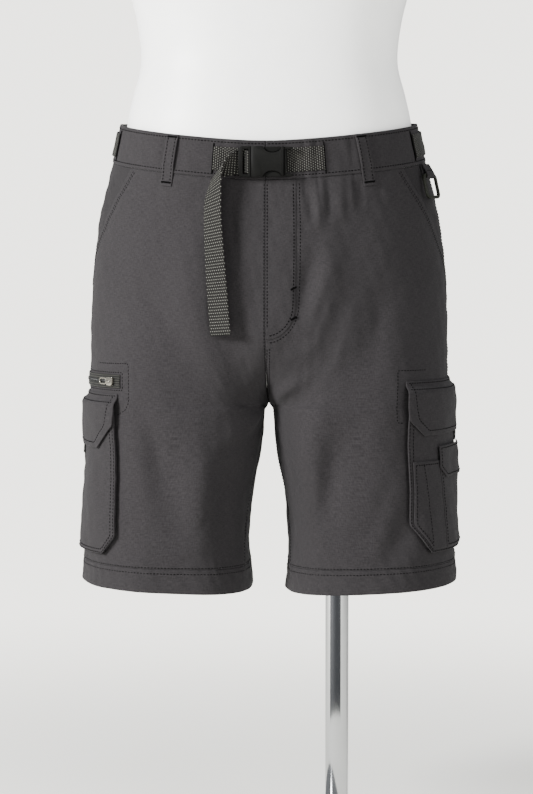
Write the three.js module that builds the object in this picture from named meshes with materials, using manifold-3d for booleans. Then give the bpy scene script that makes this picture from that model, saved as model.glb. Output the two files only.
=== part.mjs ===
// Cargo shorts worn by a smooth, limbless torso form on a stand.
// Units are millimetres. X runs to the wearer's left, -Y is the front, +Z is up and the floor is z = 0.
// The cloth is one surface for each leg half: t goes from the centre front (0) round the side
// seam (0.5) to the centre back (1), and z is the height above the hems.
import * as THREE from 'three';
import { mergeVertices } from 'three/addons/utils/BufferGeometryUtils.js';
import Module from 'manifold-3d';

const wasm = await Module();
wasm.setup();

// Heights of the garment
const HEM_Z = 280; // the hems' height above the floor
const HEM_HEIGHT = 28;
const HEM_INNER = 2; // rise of the hem's lower edge at the inseam
const HEM_OUTER = 9.5; // and at the side seam
const CROTCH = 199;
const FRONT_RISE = 282; // where the centre front seam leaves the upright
const BACK_RISE = 320;
const BAND_BOTTOM = 454.4;
const BAND_TOP = 494.4;
const FRONT_DIP = 21.6; // the waist is lower at the centre front
const BACK_LIFT = 10; // and higher at the centre back

// Thicknesses and gaps
const CLOTH = 1.5;
const BAND_THICK = 3;
const HEM_THICK = 2.4;
const OVERLAY = 1.2;
const WEBBING = 1.6;
const SEAM = 0.3;

// Shape of the sections
const HIP_POWER = 2.3;
const LEG_POWER = 2.2;
const INNER_POWER = 3;
const INSEAM_LEAN = 26; // degrees that the inseam comes forward at the hem
const SIDE_TURN = -5; // degrees from straight sideways to the side seam
const FRONT_ARC = 524; // cloth for a whole unit of t on the front of a leg
const BACK_ARC = 694; // and on its back

// Pocket mouths, from the side seam up to the waistband
const MOUTH_LOW = 322;
const MOUTH_T = 0.372;
const MOUTH_LAP = 0.02;

// Outline of the garment: half is half its width, gap half the space between the legs.
const SECTIONS = [
  { z: 0, half: 200, gap: 18.5, front: 106, back: 105 },
  { z: 20, half: 199, gap: 20, front: 106.5, back: 105.5 },
  { z: 52, half: 196.5, gap: 22, front: 107, back: 107 },
  { z: 87, half: 193.5, gap: 20, front: 108, back: 109 },
  { z: 116, half: 192, gap: 16, front: 109, back: 112 },
  { z: 144, half: 191, gap: 10, front: 110.5, back: 116 },
  { z: 164, half: 190.5, gap: 7, front: 112, back: 120 },
  { z: 193, half: 190.5, gap: 5, front: 114, back: 126 },
  { z: 240, half: 190.2, gap: 4, front: 117, back: 134 },
  { z: 300, half: 189, gap: 3, front: 119, back: 140 },
  { z: 350, half: 186, gap: 2, front: 118.5, back: 139 },
  { z: 398, half: 179, gap: 1, front: 116, back: 131 },
  { z: 454, half: 165, gap: 0, front: 113.5, back: 117 },
  { z: 496, half: 156, gap: 0, front: 112, back: 112 },
];

// Large folds, each a soft ridge (or trough, if deep is negative) along a line on the cloth.
// side is 1 for the wearer's left leg and -1 for the right, and 0 puts the fold on both.
const FOLDS = [
  { side: -1, t0: 0.2, z0: 350, t1: 0.155, z1: 235, wide: 26, deep: 4.5 },
  { side: -1, t0: 0.3, z0: 190, t1: 0.215, z1: 78, wide: 13, deep: -3.6 },
  { side: -1, t0: 0.235, z0: 176, t1: 0.17, z1: 62, wide: 17, deep: 4.2 },
  { side: -1, t0: 0.03, z0: 204, t1: 0.14, z1: 172, wide: 12, deep: 4 },
  { side: -1, t0: 0.13, z0: 150, t1: 0.1, z1: 50, wide: 20, deep: -4 },
  { side: 1, t0: 0.135, z0: 360, t1: 0.095, z1: 300, wide: 12, deep: -3.4 },
  { side: 1, t0: 0.17, z0: 372, t1: 0.135, z1: 262, wide: 16, deep: 3.2 },
  { side: 1, t0: 0.275, z0: 310, t1: 0.262, z1: 240, wide: 12, deep: -2.4 },
  { side: 1, t0: 0.03, z0: 208, t1: 0.13, z1: 226, wide: 10, deep: 3 },
  { side: 1, t0: 0.245, z0: 184, t1: 0.175, z1: 92, wide: 13, deep: -3.4 },
  { side: 1, t0: 0.2, z0: 186, t1: 0.13, z1: 96, wide: 15, deep: 3.4 },
  { side: 1, t0: 0.325, z0: 90, t1: 0.25, z1: 34, wide: 13, deep: -2.8 },
  { side: 1, t0: 0.16, z0: 448, t1: 0.15, z1: 404, wide: 8, deep: 1.8 },
  { side: 1, t0: 0.21, z0: 450, t1: 0.2, z1: 412, wide: 7, deep: 1.6 },
  { side: 0, t0: 0.66, z0: 190, t1: 0.8, z1: 90, wide: 16, deep: -3.6 },
  { side: 0, t0: 0.8, z0: 215, t1: 0.93, z1: 190, wide: 13, deep: 3.6 },
  { side: 0, t0: 0.74, z0: 245, t1: 0.9, z1: 222, wide: 12, deep: -3 },
  { side: 0, t0: 0.86, z0: 150, t1: 0.8, z1: 60, wide: 18, deep: 3.2 },
  { side: 0, t0: 0.62, z0: 430, t1: 0.6, z1: 370, wide: 12, deep: -1.8 },
  { side: 0, t0: 0.93, z0: 420, t1: 0.9, z1: 360, wide: 13, deep: -2 },
];

// Places of the belt loops: x at the waistband's top and at the loop's lower end
const LOOP_WIDE = 16;
const LOOP_BOTTOM = 440.5;
const LOOPS = [
  { name: 'belt_loop_front_right', side: -1, back: false, top: 94.5, low: 102.5, bulge: 1.6 },
  { name: 'belt_loop_front_left', side: 1, back: false, top: 95.5, low: 106, bulge: 1.6 },
  { name: 'belt_loop_back_right', side: -1, back: true, top: 88, low: 92, bulge: 2.3 },
  { name: 'belt_loop_back_left', side: 1, back: true, top: 88, low: 92, bulge: 2.3 },
];

// Cargo pockets: front and back are cloth distances from the side seam to the pocket's edges
const POCKETS = {
  right: {
    side: -1, top: 198, bottom: 43, frontTop: 78, frontLow: 90, backTop: 68, backLow: 74,
    cutAcross: 18, cutUp: 21, depth: 7,
  },
  left: {
    side: 1, top: 212, bottom: 46, frontTop: 91, frontLow: 102, backTop: 68, backLow: 74,
    cutAcross: 26, cutUp: 32, depth: 7,
  },
};
const RIM = 1.2; // how far the pocket's side walls lean in
const FLAPS = {
  right: { side: -1, top: 212, bottom: 155, front: 80, back: 70, cutAcross: 20, cutUp: 25 },
  left: { side: 1, top: 226, bottom: 170, front: 93, back: 70, cutAcross: 16, cutUp: 17 },
};
const FLAP_TURN = 12; // height over which a flap climbs from the leg onto its pocket

// Patch and side pocket on the face of the left cargo pocket, with the side pocket's flap
const PATCH = { top: 143, split: 52, back: 12, flapTop: 158, flapLow: 124, flapCut: 11 };

// Zip of the thigh pocket, on the wearer's right
const ZIP_Z = 225;
const ZIP_HIGH = 14;
const ZIP_FRONT = 79;
const ZIP_BACK = 60;
const SLIDER_AT = 68;
const SLIDER = { long: 10, high: 8.5, thick: 3.4 };
const PULL = { long: 14, high: 7.5, thick: 1.2, turn: -5.5 };
const PULL_PIVOT = 1; // from the pull's end to the line it turns about

// Belt, buckle and its free end
const BELT_HIGH = 24.5;
const BELT_Z = 473.8;
const SLIT_RIGHT = 53;
const SLIT_LEFT = 59.5;
const BELT_OUT = { left: 0.418, right: 0.44 }; // t where it comes out of its channel at the sides
const BUCKLE = { left: -27.2, split: -14.6, right: 21.6, z: 451, high: 31.5, back: -117.2 };
const TAIL = [
  { topX: -27.7, topY: -118.4, topZ: 463.4, lowX: -27.7, lowY: -118.4, lowZ: 438.4 },
  { topX: -36.5, topY: -126.5, topZ: 458, lowX: -40.5, lowY: -118.2, lowZ: 436 },
  { topX: -42, topY: -131, topZ: 448.5, lowX: -53, lowY: -115.6, lowZ: 434.6 },
  { topX: -44.2, topY: -132, topZ: 435.5, lowX: -58.4, lowY: -115.6, lowZ: 423 },
  { topX: -44.4, topY: -131.5, topZ: 420, lowX: -61.6, lowY: -115.8, lowZ: 412 },
  { topX: -44.4, topY: -131.5, topZ: 397.5, lowX: -62.6, lowY: -117.6, lowZ: 392.5 },
  { topX: -39.8, topY: -131, topZ: 336.5, lowX: -60.4, lowY: -121.6, lowZ: 334 },
  { topX: -35, topY: -130.4, topZ: 275, lowX: -56, lowY: -122.8, lowZ: 273.5 },
];

// Plastic ring in its fabric loop, at the wearer's left side
const RING = { x: 168.5, y: -41, z: 439, turn: -33, tilt: -14, wide: 26, high: 27, bar: 3.4 };
const RING_TAB = { wide: 15, high: 11.5, lean: 5.4 };

// Form and stand
const FORM = [
  { z: 300, half: 170, front: 106, back: 126 },
  { z: 350, half: 171, front: 109, back: 128 },
  { z: 398, half: 167, front: 110, back: 121 },
  { z: 440, half: 158.5, front: 109.2, back: 112 },
  { z: 474, half: 153, front: 110, back: 110.4 },
  { z: 500, half: 149.5, front: 108.6, back: 110.2 },
  { z: 524, half: 144, front: 104, back: 102 },
  { z: 558, half: 136, front: 98, back: 96 },
  { z: 600, half: 140, front: 99, back: 96 },
  { z: 640, half: 149.5, front: 103, back: 98 },
  { z: 660, half: 151, front: 104, back: 98 },
];
const FORM_LOW = 213;
const FORM_HIGH = 675;
const POLE = { x: 73, y: 2, radius: 12.5 };
const COLLAR = { radius: 22, low: 214, high: 238 };
const BASE = { radius: 140, thick: 9, hubRadius: 21, hubHigh: 30, edge: 3 };

// Colours and finishes
const FINISH = {
  cloth: { color: 0x48464a, roughness: 0.92, metalness: 0 },
  facing: { color: 0x3b393b, roughness: 0.94, metalness: 0 },
  webbing: { color: 0x2c2b29, roughness: 0.85, metalness: 0 },
  plastic: { color: 0x232321, roughness: 0.45, metalness: 0 },
  ring: { color: 0x2e302a, roughness: 0.5, metalness: 0 },
  zip: { color: 0x1d1d1c, roughness: 0.8, metalness: 0 },
  metal: { color: 0xb9b7b2, roughness: 0.25, metalness: 1 },
  chrome: { color: 0xd2d2d0, roughness: 0.12, metalness: 1 },
  form: { color: 0xf2f1ec, roughness: 0.35, metalness: 0 },
};

const DEGREE = Math.PI / 180;
const clamp01 = (v) => Math.min(Math.max(v, 0), 1);
const mix = (a, b, k) => a + (b - a) * k;
const steps = (count, from, to) => Array.from({ length: count + 1 }, (_, i) => mix(from, to, i / count));

function smooth(v) {
  const c = clamp01(v);
  return c * c * (3 - 2 * c);
}

// One signed coordinate of a superellipse whose circle coordinate is c
const bulged = (c, power) => Math.sign(c) * Math.abs(c) ** (2 / power);

// A table's columns at height z, on a smooth curve through its rows
function rowAt(table, z, names) {
  const last = table.length - 1;
  const above = table.findIndex((row) => row.z > z);
  const i = above < 0 ? last - 1 : Math.max(above - 1, 0);
  const low = table[i];
  const high = table[i + 1];
  const before = table[Math.max(i - 1, 0)];
  const after = table[Math.min(i + 2, last)];
  const span = high.z - low.z;
  const k = (z - low.z) / span;
  const result = {};
  for (const name of names) {
    const leave = ((high[name] - before[name]) / (high.z - before.z)) * span;
    const arrive = ((after[name] - low[name]) / (after.z - low.z)) * span;
    const rise = high[name] - low[name];
    result[name] = low[name] + leave * k + (3 * rise - 2 * leave - arrive) * k * k
      + (leave + arrive - 2 * rise) * k * k * k;
  }
  result.gap = mix(low.gap, high.gap, k);
  return result;
}

// The hips' section: inner is 0 at the centre seam and 1 at the side seam
function hipPoint(inner, front, s) {
  const angle = 90 * DEGREE * (0.378 * inner + 0.622 * inner * inner);
  const depth = front ? -s.front : s.back;
  return {
    x: s.half * bulged(Math.sin(angle), HIP_POWER),
    y: depth * bulged(Math.cos(angle), HIP_POWER),
  };
}

// The leg's own section, from the inseam round the outside and back to the inseam
function legPoint(t, z, s) {
  const start = -180 + INSEAM_LEAN * clamp01(1 - z / CROTCH);
  const turn = t < 0.5
    ? mix(start, SIDE_TURN, t / 0.5)
    : mix(SIDE_TURN, start + 360, (t - 0.5) / 0.5);
  const across = Math.cos(turn * DEGREE);
  const along = Math.sin(turn * DEGREE);
  const power = across < 0 && along < 0 ? INNER_POWER : LEG_POWER;
  return {
    x: (s.half + s.gap) / 2 + ((s.half - s.gap) / 2) * bulged(across, power),
    y: (along < 0 ? s.front : s.back) * bulged(along, power),
  };
}

// How far the section has turned from hips into a leg, from 0 to 1
function legShare(inner, front, z) {
  const rise = front ? FRONT_RISE : BACK_RISE;
  const drop = clamp01((rise - z) / (rise - CROTCH));
  const centre = 1 - Math.sqrt(1 - drop * drop);
  const side = 1 - smooth((z - 180) / 150);
  return mix(centre, side, smooth(inner / 0.7));
}

// The middle of the cloth on the wearer's left, before folds
function surface(t, z) {
  const s = rowAt(SECTIONS, z, ['half', 'front', 'back']);
  const front = t < 0.5;
  const inner = front ? t / 0.5 : (1 - t) / 0.5;
  const share = legShare(inner, front, z);
  const hip = hipPoint(inner, front, s);
  const leg = legPoint(t, z, s);
  const bridge = s.gap * smooth((z - CROTCH + 6) / 6) * (1 - smooth(inner / 0.16));
  const x = mix(hip.x, leg.x - bridge, share);
  const waist = (front ? -FRONT_DIP : BACK_LIFT) * Math.cos(90 * DEGREE * inner);
  const hem = mix(HEM_INNER, HEM_OUTER, clamp01((x - s.gap) / (s.half - s.gap)));
  const lift = waist * smooth((z - 300) / 155) + hem * (1 - smooth(z / 60));
  return new THREE.Vector3(x, mix(hip.y, leg.y, share), z + lift);
}

function normalAt(t, z) {
  const across = surface(Math.min(t + 0.004, 1), z).sub(surface(Math.max(t - 0.004, 0), z));
  const up = surface(t, z + 2).sub(surface(t, z - 2));
  return across.cross(up).normalize();
}

// Height of the folds above the plain surface
function foldHeight(side, t, z) {
  let height = 0;
  for (const fold of FOLDS) {
    if (fold.side !== 0 && fold.side !== side) continue;
    const run = new THREE.Vector2((fold.t1 - fold.t0) * FRONT_ARC, fold.z1 - fold.z0);
    const here = new THREE.Vector2((t - fold.t0) * FRONT_ARC, z - fold.z0);
    const along = clamp01(here.dot(run) / run.lengthSq());
    const away = here.addScaledVector(run, -along).length() / fold.wide;
    height += fold.deep * Math.exp(-away * away) * (0.45 + 0.55 * Math.sin(Math.PI * along));
  }
  return height;
}

// A point of the cloth, moved out by off; side is 1 for the wearer's left and -1 for the right
function place(side, t, z, off) {
  const point = surface(t, z).addScaledVector(normalAt(t, z), off + foldHeight(side, t, z));
  point.x = side * Math.max(point.x, SEAM / 2);
  point.z += HEM_Z;
  return point;
}

// The same for a piece that crosses the centre back: u is t on the left and 2 - t on the right
const placeRound = (u, z, off) => (u <= 1 ? place(1, u, z, off) : place(-1, 2 - u, z, off));

// t where the cloth at height z is x away from the centre
function tAtX(x, z, back = false) {
  let low = 0;
  let high = 0.5;
  for (let i = 0; i < 30; i++) {
    const middle = (low + high) / 2;
    if (surface(back ? 1 - middle : middle, z).x < x) low = middle;
    else high = middle;
  }
  return back ? 1 - low : low;
}

// t at a distance along the cloth from the side seam, negative towards the front
const tFromSide = (distance) => 0.5 + distance / (distance < 0 ? FRONT_ARC : BACK_ARC);

function geometryFrom(points, faces) {
  const geometry = new THREE.BufferGeometry().setFromPoints(points);
  geometry.setIndex(faces);
  geometry.computeVertexNormals();
  return geometry;
}

// A closed wall between two grids of points; a ring joins its last column to its first
function wall(rows, cols, outer, inner, { ring = false, mirrored = false } = {}) {
  const wide = ring ? cols : cols + 1;
  const points = [];
  for (const layer of [outer, inner]) {
    for (let i = 0; i <= rows; i++) {
      for (let j = 0; j < wide; j++) points.push(layer(i, j));
    }
  }
  const at = (layer, i, j) => (layer * (rows + 1) + i) * wide + (j % wide);
  const faces = [];
  const quad = (a, b, c, d) => faces.push(...(mirrored ? [a, c, b, a, d, c] : [a, b, c, a, c, d]));
  for (let i = 0; i < rows; i++) {
    for (let j = 0; j < cols; j++) {
      quad(at(0, i, j), at(0, i, j + 1), at(0, i + 1, j + 1), at(0, i + 1, j));
      quad(at(1, i, j), at(1, i + 1, j), at(1, i + 1, j + 1), at(1, i, j + 1));
    }
  }
  for (let j = 0; j < cols; j++) {
    quad(at(0, 0, j), at(1, 0, j), at(1, 0, j + 1), at(0, 0, j + 1));
    quad(at(0, rows, j), at(0, rows, j + 1), at(1, rows, j + 1), at(1, rows, j));
  }
  for (let i = 0; i < rows && !ring; i++) {
    quad(at(0, i, 0), at(0, i + 1, 0), at(1, i + 1, 0), at(1, i, 0));
    quad(at(0, i, cols), at(1, i, cols), at(1, i + 1, cols), at(0, i + 1, cols));
  }
  return geometryFrom(points, faces);
}

// A piece of cloth on the garment's surface. heights are its rows, span(z) gives its two edges
// in t, and offset(z, t) is the middle of its thickness above the middle of the cloth.
function patch({ side, heights, span, cols, thick, offset = () => 0, ring = false }) {
  const layer = (shift) => (i, j) => {
    const z = heights[i];
    const [from, to] = span(z);
    const t = mix(from, to, j / cols);
    return place(side, t, z, offset(z, t) + shift);
  };
  const options = { ring, mirrored: side < 0 };
  return wall(heights.length - 1, cols, layer(thick / 2), layer(-thick / 2), options);
}

const group = new THREE.Group();

function add(name, geometry, finish, parent = group) {
  const mesh = new THREE.Mesh(geometry, new THREE.MeshStandardMaterial(FINISH[finish]));
  mesh.name = name;
  parent.add(mesh);
  return mesh;
}

// Row heights of a leg panel, closer together where the rise seam turns under the crotch
function panelHeights(rise) {
  const turn = steps(6, 90, 0).map((a) => rise - (rise - CROTCH) * Math.sin(a * DEGREE));
  return [
    ...steps(8, HEM_HEIGHT + SEAM / 2, CROTCH - 6),
    ...turn,
    ...steps(8, rise, BAND_BOTTOM - SEAM / 2).slice(1),
  ];
}

const SEAM_T = SEAM / 2 / FRONT_ARC;
const mouthT = (z) => mix(0.5, MOUTH_T, clamp01((z - MOUTH_LOW) / (BAND_BOTTOM - MOUTH_LOW)));

function makePanels() {
  for (const [word, side] of [['right', -1], ['left', 1]]) {
    add(`front_${word}`, patch({
      side,
      heights: panelHeights(FRONT_RISE),
      span: (z) => [SEAM_T, mouthT(z) - SEAM_T],
      cols: 14,
      thick: CLOTH,
    }), 'cloth');
    add(`back_${word}`, patch({
      side,
      heights: panelHeights(BACK_RISE),
      span: () => [0.5 + SEAM_T, 1 - SEAM_T],
      cols: 14,
      thick: CLOTH,
    }), 'cloth');
    add(`pocket_facing_${word}`, patch({
      side,
      heights: steps(7, MOUTH_LOW + 4, BAND_BOTTOM - SEAM / 2),
      span: (z) => [mouthT(z) - MOUTH_LAP, 0.5 - SEAM_T],
      cols: 8,
      thick: CLOTH,
      offset: (z, t) => -(CLOTH + 3 * SEAM) * (1 - smooth((t - mouthT(z) - MOUTH_LAP / 2) / 0.045)),
    }), 'facing');
    add(`hem_${word}`, patch({
      side,
      heights: steps(1, 0, HEM_HEIGHT - SEAM / 2),
      span: () => [0, 1],
      cols: 40,
      thick: HEM_THICK,
      offset: () => (CLOTH - HEM_THICK) / 2,
      ring: true,
    }), 'cloth');
  }
}

function makeWaistband() {
  const heights = steps(2, BAND_BOTTOM + SEAM / 2, BAND_TOP);
  for (const [word, side] of [['right', -1], ['left', 1]]) {
    const span = () => [SEAM_T, 0.5 - SEAM_T];
    const geometry = patch({ side, heights, span, cols: 20, thick: BAND_THICK });
    add(`waistband_${word}`, geometry, 'cloth');
  }
  const cols = 40;
  const layer = (off) => (i, j) => placeRound(mix(0.5 + SEAM_T, 1.5 - SEAM_T, j / cols), heights[i], off);
  add('waistband_back', wall(2, cols, layer(BAND_THICK / 2), layer(-BAND_THICK / 2)), 'cloth');
}

// The fly's outer layer on the wearer's left, straight down and then curved to the centre seam
function makeFly() {
  const wide = 31;
  const turnHigh = 306;
  const turnDeep = 36;
  const heights = [
    ...steps(5, 76, 0).map((a) => turnHigh - turnDeep * Math.sin(a * DEGREE)),
    ...steps(5, turnHigh, BAND_BOTTOM - SEAM / 2).slice(1),
  ];
  const reach = (z) => {
    const drop = clamp01((turnHigh - z) / turnDeep);
    return wide * Math.sqrt(1 - drop * drop);
  };
  add('fly', patch({
    side: 1,
    heights,
    span: (z) => [SEAM_T, tAtX(reach(z), z)],
    cols: 4,
    thick: 1,
    offset: () => CLOTH / 2 + 2 * SEAM + 0.5,
  }), 'cloth');
}

function makeBeltLoops() {
  const heights = [LOOP_BOTTOM, 447, 453.8, 456, 461, 475, 488, BAND_TOP - 0.5];
  const onCloth = CLOTH / 2 + SEAM + OVERLAY / 2;
  const onBand = BAND_THICK / 2 + SEAM + OVERLAY / 2;
  const rest = (z) => mix(onCloth, onBand, smooth((z - 447) / 6.5));
  const stand = (z, bulge) => rest(z) + bulge * smooth((z - 456) / 6) * smooth((493 - z) / 6);
  for (const loop of LOOPS) {
    const middle = (z) => mix(loop.low, loop.top, (z - LOOP_BOTTOM) / (BAND_TOP - LOOP_BOTTOM));
    const edge = (z, shift) => tAtX(middle(z) + shift, z, loop.back);
    const slant = 0.94; // a loop's width seen from the front, as a share of its real width
    const half = (LOOP_WIDE / 2) * slant * 0.8;
    add(loop.name, patch({
      side: loop.side,
      heights,
      span: (z) => (loop.back ? [edge(z, half), edge(z, -half)] : [edge(z, -half), edge(z, half)]),
      cols: 3,
      thick: OVERLAY,
      offset: (z) => stand(z, loop.bulge),
    }), 'cloth');
  }
  const reach = 1 - tAtX(LOOP_WIDE / 2, BELT_Z, true);
  const layer = (shift) => (i, j) => {
    const u = mix(1 - reach, 1 + reach, j / 4);
    return placeRound(u, heights[i], stand(heights[i], 2.3) + shift);
  };
  const rows = heights.length - 1;
  add('belt_loop_back_centre', wall(rows, 4, layer(OVERLAY / 2), layer(-OVERLAY / 2)), 'cloth');
}

// A pocket's edges at height z, as cloth distances from the side seam
function pocketEdges(p, z) {
  const down = (p.top - z) / (p.top - p.bottom);
  const cut = p.cutAcross * clamp01(1 - (z - p.bottom) / p.cutUp);
  return [-(mix(p.frontTop, p.frontLow, down) - cut), mix(p.backTop, p.backLow, down) - cut];
}

// A raised pocket with side walls and a bottom wall, open at the top under its flap
function makeCargoPocket(name, p) {
  const base = CLOTH / 2 + SEAM;
  const upper = steps(7, p.bottom + p.cutUp, p.top);
  const lower = steps(3, p.bottom, p.bottom + p.cutUp).slice(0, -1);
  const layer = (inset, height) => {
    const rows = [p.bottom + inset, p.bottom + inset + RIM, ...lower.slice(1), ...upper];
    return (i, j) => {
      const z = rows[i];
      const [front, back] = pocketEdges(p, Math.max(z, p.bottom));
      const edge = j === 0 || j === cols;
      const lean = inset + (edge ? 0 : RIM);
      const step = Math.min(Math.max(j - 1, 0), cols - 2) / (cols - 2);
      const along = mix(front + lean, back - lean, step);
      const standing = i === 0 || edge ? base : base + height;
      return place(p.side, tFromSide(along), z, standing);
    };
  };
  const cols = 12;
  const rows = lower.length + upper.length;
  const geometry = wall(rows, cols, layer(0, p.depth), layer(CLOTH, p.depth - CLOTH), {
    mirrored: p.side < 0,
  });
  add(name, geometry, 'cloth');
}

const pocketFace = (p) => CLOTH / 2 + SEAM + p.depth;

function makeFlap(name, flap, pocket) {
  const low = CLOTH / 2 + SEAM + CLOTH / 2;
  const high = pocketFace(pocket) + 3 * SEAM + CLOTH / 2;
  const heights = [
    ...steps(2, flap.bottom, flap.bottom + flap.cutUp),
    ...steps(2, flap.bottom + flap.cutUp, flap.top - FLAP_TURN).slice(1),
    ...steps(3, flap.top - FLAP_TURN, flap.top - 3).slice(1),
    flap.top,
  ];
  add(name, patch({
    side: flap.side,
    heights,
    span: (z) => {
      const cut = flap.cutAcross * clamp01(1 - (z - flap.bottom) / flap.cutUp);
      return [tFromSide(-(flap.front - cut)), tFromSide(flap.back - cut)];
    },
    cols: 12,
    thick: CLOTH,
    offset: (z) => mix(high, low, smooth((z - flap.top + FLAP_TURN) / (FLAP_TURN - 3))),
  }), 'cloth');
}

// A flat piece that lies on a pocket's face, between two distances from the side seam
function addOnPocket(name, pocket, heights, edges, thick, finish, stand = 0) {
  add(name, patch({
    side: pocket.side,
    heights,
    span: (z) => edges(z).map(tFromSide),
    cols: 6,
    thick,
    offset: () => pocketFace(pocket) + 2 * SEAM + thick / 2 + stand,
  }), finish);
}

function makePocketDetails() {
  const left = POCKETS.left;
  const inset = 4;
  const low = left.bottom + inset;
  const cutTop = left.bottom + left.cutUp;
  addOnPocket(
    'cargo_left_patch_pocket',
    left,
    [...steps(3, low, cutTop), ...steps(3, cutTop + 12, PATCH.top)],
    (z) => [pocketEdges(left, z)[0] + inset, -PATCH.split - SEAM],
    OVERLAY,
    'cloth',
  );
  addOnPocket(
    'cargo_left_side_pocket',
    left,
    steps(4, low, PATCH.top),
    () => [-PATCH.split + SEAM, PATCH.back],
    OVERLAY,
    'cloth',
  );
  const cut = PATCH.flapCut;
  addOnPocket(
    'cargo_left_small_flap',
    left,
    [PATCH.flapLow, PATCH.flapLow + cut, PATCH.top, PATCH.flapTop],
    (z) => [-PATCH.split - 2 + cut * clamp01(1 - (z - PATCH.flapLow) / cut), PATCH.back + 2],
    OVERLAY,
    'cloth',
    OVERLAY + 2 * SEAM,
  );
  for (const [word, pocket, flap] of [['right', POCKETS.right, FLAPS.right], ['left', left, FLAPS.left]]) {
    addOnPocket(
      `flap_pull_${word}`,
      pocket,
      [flap.bottom - 9, flap.bottom - SEAM],
      () => [-6, 6],
      2,
      'webbing',
    );
  }
}

function makeBelt() {
  const heights = [BELT_Z - BELT_HIGH / 2, BELT_Z + BELT_HIGH / 2];
  const lying = BAND_THICK / 2 + SEAM + WEBBING / 2;
  const stub = (name, side, from, to) => add(name, patch({
    side,
    heights,
    span: () => [tAtX(from, BELT_Z), tAtX(to, BELT_Z)],
    cols: 5,
    thick: WEBBING,
    offset: () => lying,
  }), 'webbing');
  stub('belt_right', -1, -BUCKLE.split + 0.5, SLIT_RIGHT);
  stub('belt_left', 1, BUCKLE.right - 6, SLIT_LEFT);
  const cols = 50;
  const layer = (shift) => (i, j) => {
    const u = mix(BELT_OUT.left, 2 - BELT_OUT.right, j / cols);
    return placeRound(u, heights[i], lying + SEAM + shift);
  };
  add('belt_back', wall(1, cols, layer(WEBBING / 2), layer(-WEBBING / 2)), 'webbing');
}

// The belt's free end: it leaves the buckle, rolls over and hangs down
function makeBeltTail() {
  const edge = (x, y, z) => new THREE.CatmullRomCurve3(
    TAIL.map((row) => new THREE.Vector3(row[x], row[y], row[z] + HEM_Z)), false, 'centripetal');
  const top = edge('topX', 'topY', 'topZ');
  const low = edge('lowX', 'lowY', 'lowZ');
  const rows = 26;
  const cols = 2;
  const along = (i) => i / rows;
  const middle = (i, j) => top.getPoint(along(i)).lerp(low.getPoint(along(i)), j / cols);
  const layer = (shift) => (i, j) => {
    const ahead = middle(Math.min(i + 1, rows), j).sub(middle(Math.max(i - 1, 0), j));
    const across = middle(i, cols).sub(middle(i, 0));
    return middle(i, j).addScaledVector(ahead.cross(across).normalize(), shift);
  };
  add('belt_tail', wall(rows, cols, layer(-WEBBING / 2), layer(WEBBING / 2)), 'webbing');
}

// A rectangle with round corners, as a Shape or as a hole
function roundedRectangle(path, x0, y0, x1, y1, r) {
  path.moveTo(x0 + r, y0);
  path.lineTo(x1 - r, y0);
  path.absarc(x1 - r, y0 + r, r, -Math.PI / 2, 0);
  path.lineTo(x1, y1 - r);
  path.absarc(x1 - r, y1 - r, r, 0, Math.PI / 2);
  path.lineTo(x0 + r, y1);
  path.absarc(x0 + r, y1 - r, r, Math.PI / 2, Math.PI);
  path.lineTo(x0, y0 + r);
  path.absarc(x0 + r, y0 + r, r, Math.PI, Math.PI * 1.5);
  return path;
}

// An extrusion towards -Y of a shape drawn in X and Z, its back face at y = 0
function plate(shape, thick, bevel) {
  const geometry = new THREE.ExtrudeGeometry(shape, {
    depth: thick - 2 * bevel,
    bevelEnabled: bevel > 0,
    bevelSize: bevel,
    bevelOffset: -bevel,
    bevelThickness: bevel,
    bevelSegments: 1,
    curveSegments: 4,
  });
  geometry.translate(0, 0, bevel);
  geometry.rotateX(Math.PI / 2);
  return geometry;
}

function makeBuckle() {
  const buckle = new THREE.Group();
  buckle.position.set(0, BUCKLE.back, HEM_Z + BUCKLE.z);
  group.add(buckle);
  const high = BUCKLE.high / 2;
  const ladder = roundedRectangle(new THREE.Shape(), BUCKLE.left, -high, BUCKLE.split, high, 3);
  const gap = [BUCKLE.left + 4.6, -high + 3, BUCKLE.split - 2.6, high - 3, 1];
  ladder.holes.push(roundedRectangle(new THREE.Path(), ...gap));
  add('buckle_ladder', plate(ladder, 5, 0.6), 'plastic', buckle);

  const from = BUCKLE.split + SEAM;
  const end = BUCKLE.right - 8;
  const notch = 3.6;
  const body = new THREE.Shape();
  body.moveTo(from, -high);
  body.lineTo(end - 18, -high);
  body.quadraticCurveTo(end - 15, -high + notch, end - 8, -high + notch);
  body.quadraticCurveTo(end - 1, -high + notch, end, -high + 1);
  body.lineTo(BUCKLE.right - 2, -high + 1);
  body.quadraticCurveTo(BUCKLE.right, -high + 1, BUCKLE.right, -high + 3);
  body.lineTo(BUCKLE.right, high - 3);
  body.quadraticCurveTo(BUCKLE.right, high - 1, BUCKLE.right - 2, high - 1);
  body.lineTo(end, high - 1);
  body.quadraticCurveTo(end - 1, high - notch, end - 8, high - notch);
  body.quadraticCurveTo(end - 15, high - notch, end - 18, high);
  body.lineTo(from, high);
  body.lineTo(from, -high);
  const slot = [end + 2, -high + 3.4, end + 4.6, high - 3.4, 0.6];
  body.holes.push(roundedRectangle(new THREE.Path(), ...slot));
  add('buckle_body', plate(body, 8, 1), 'plastic', buckle);
}

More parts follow.
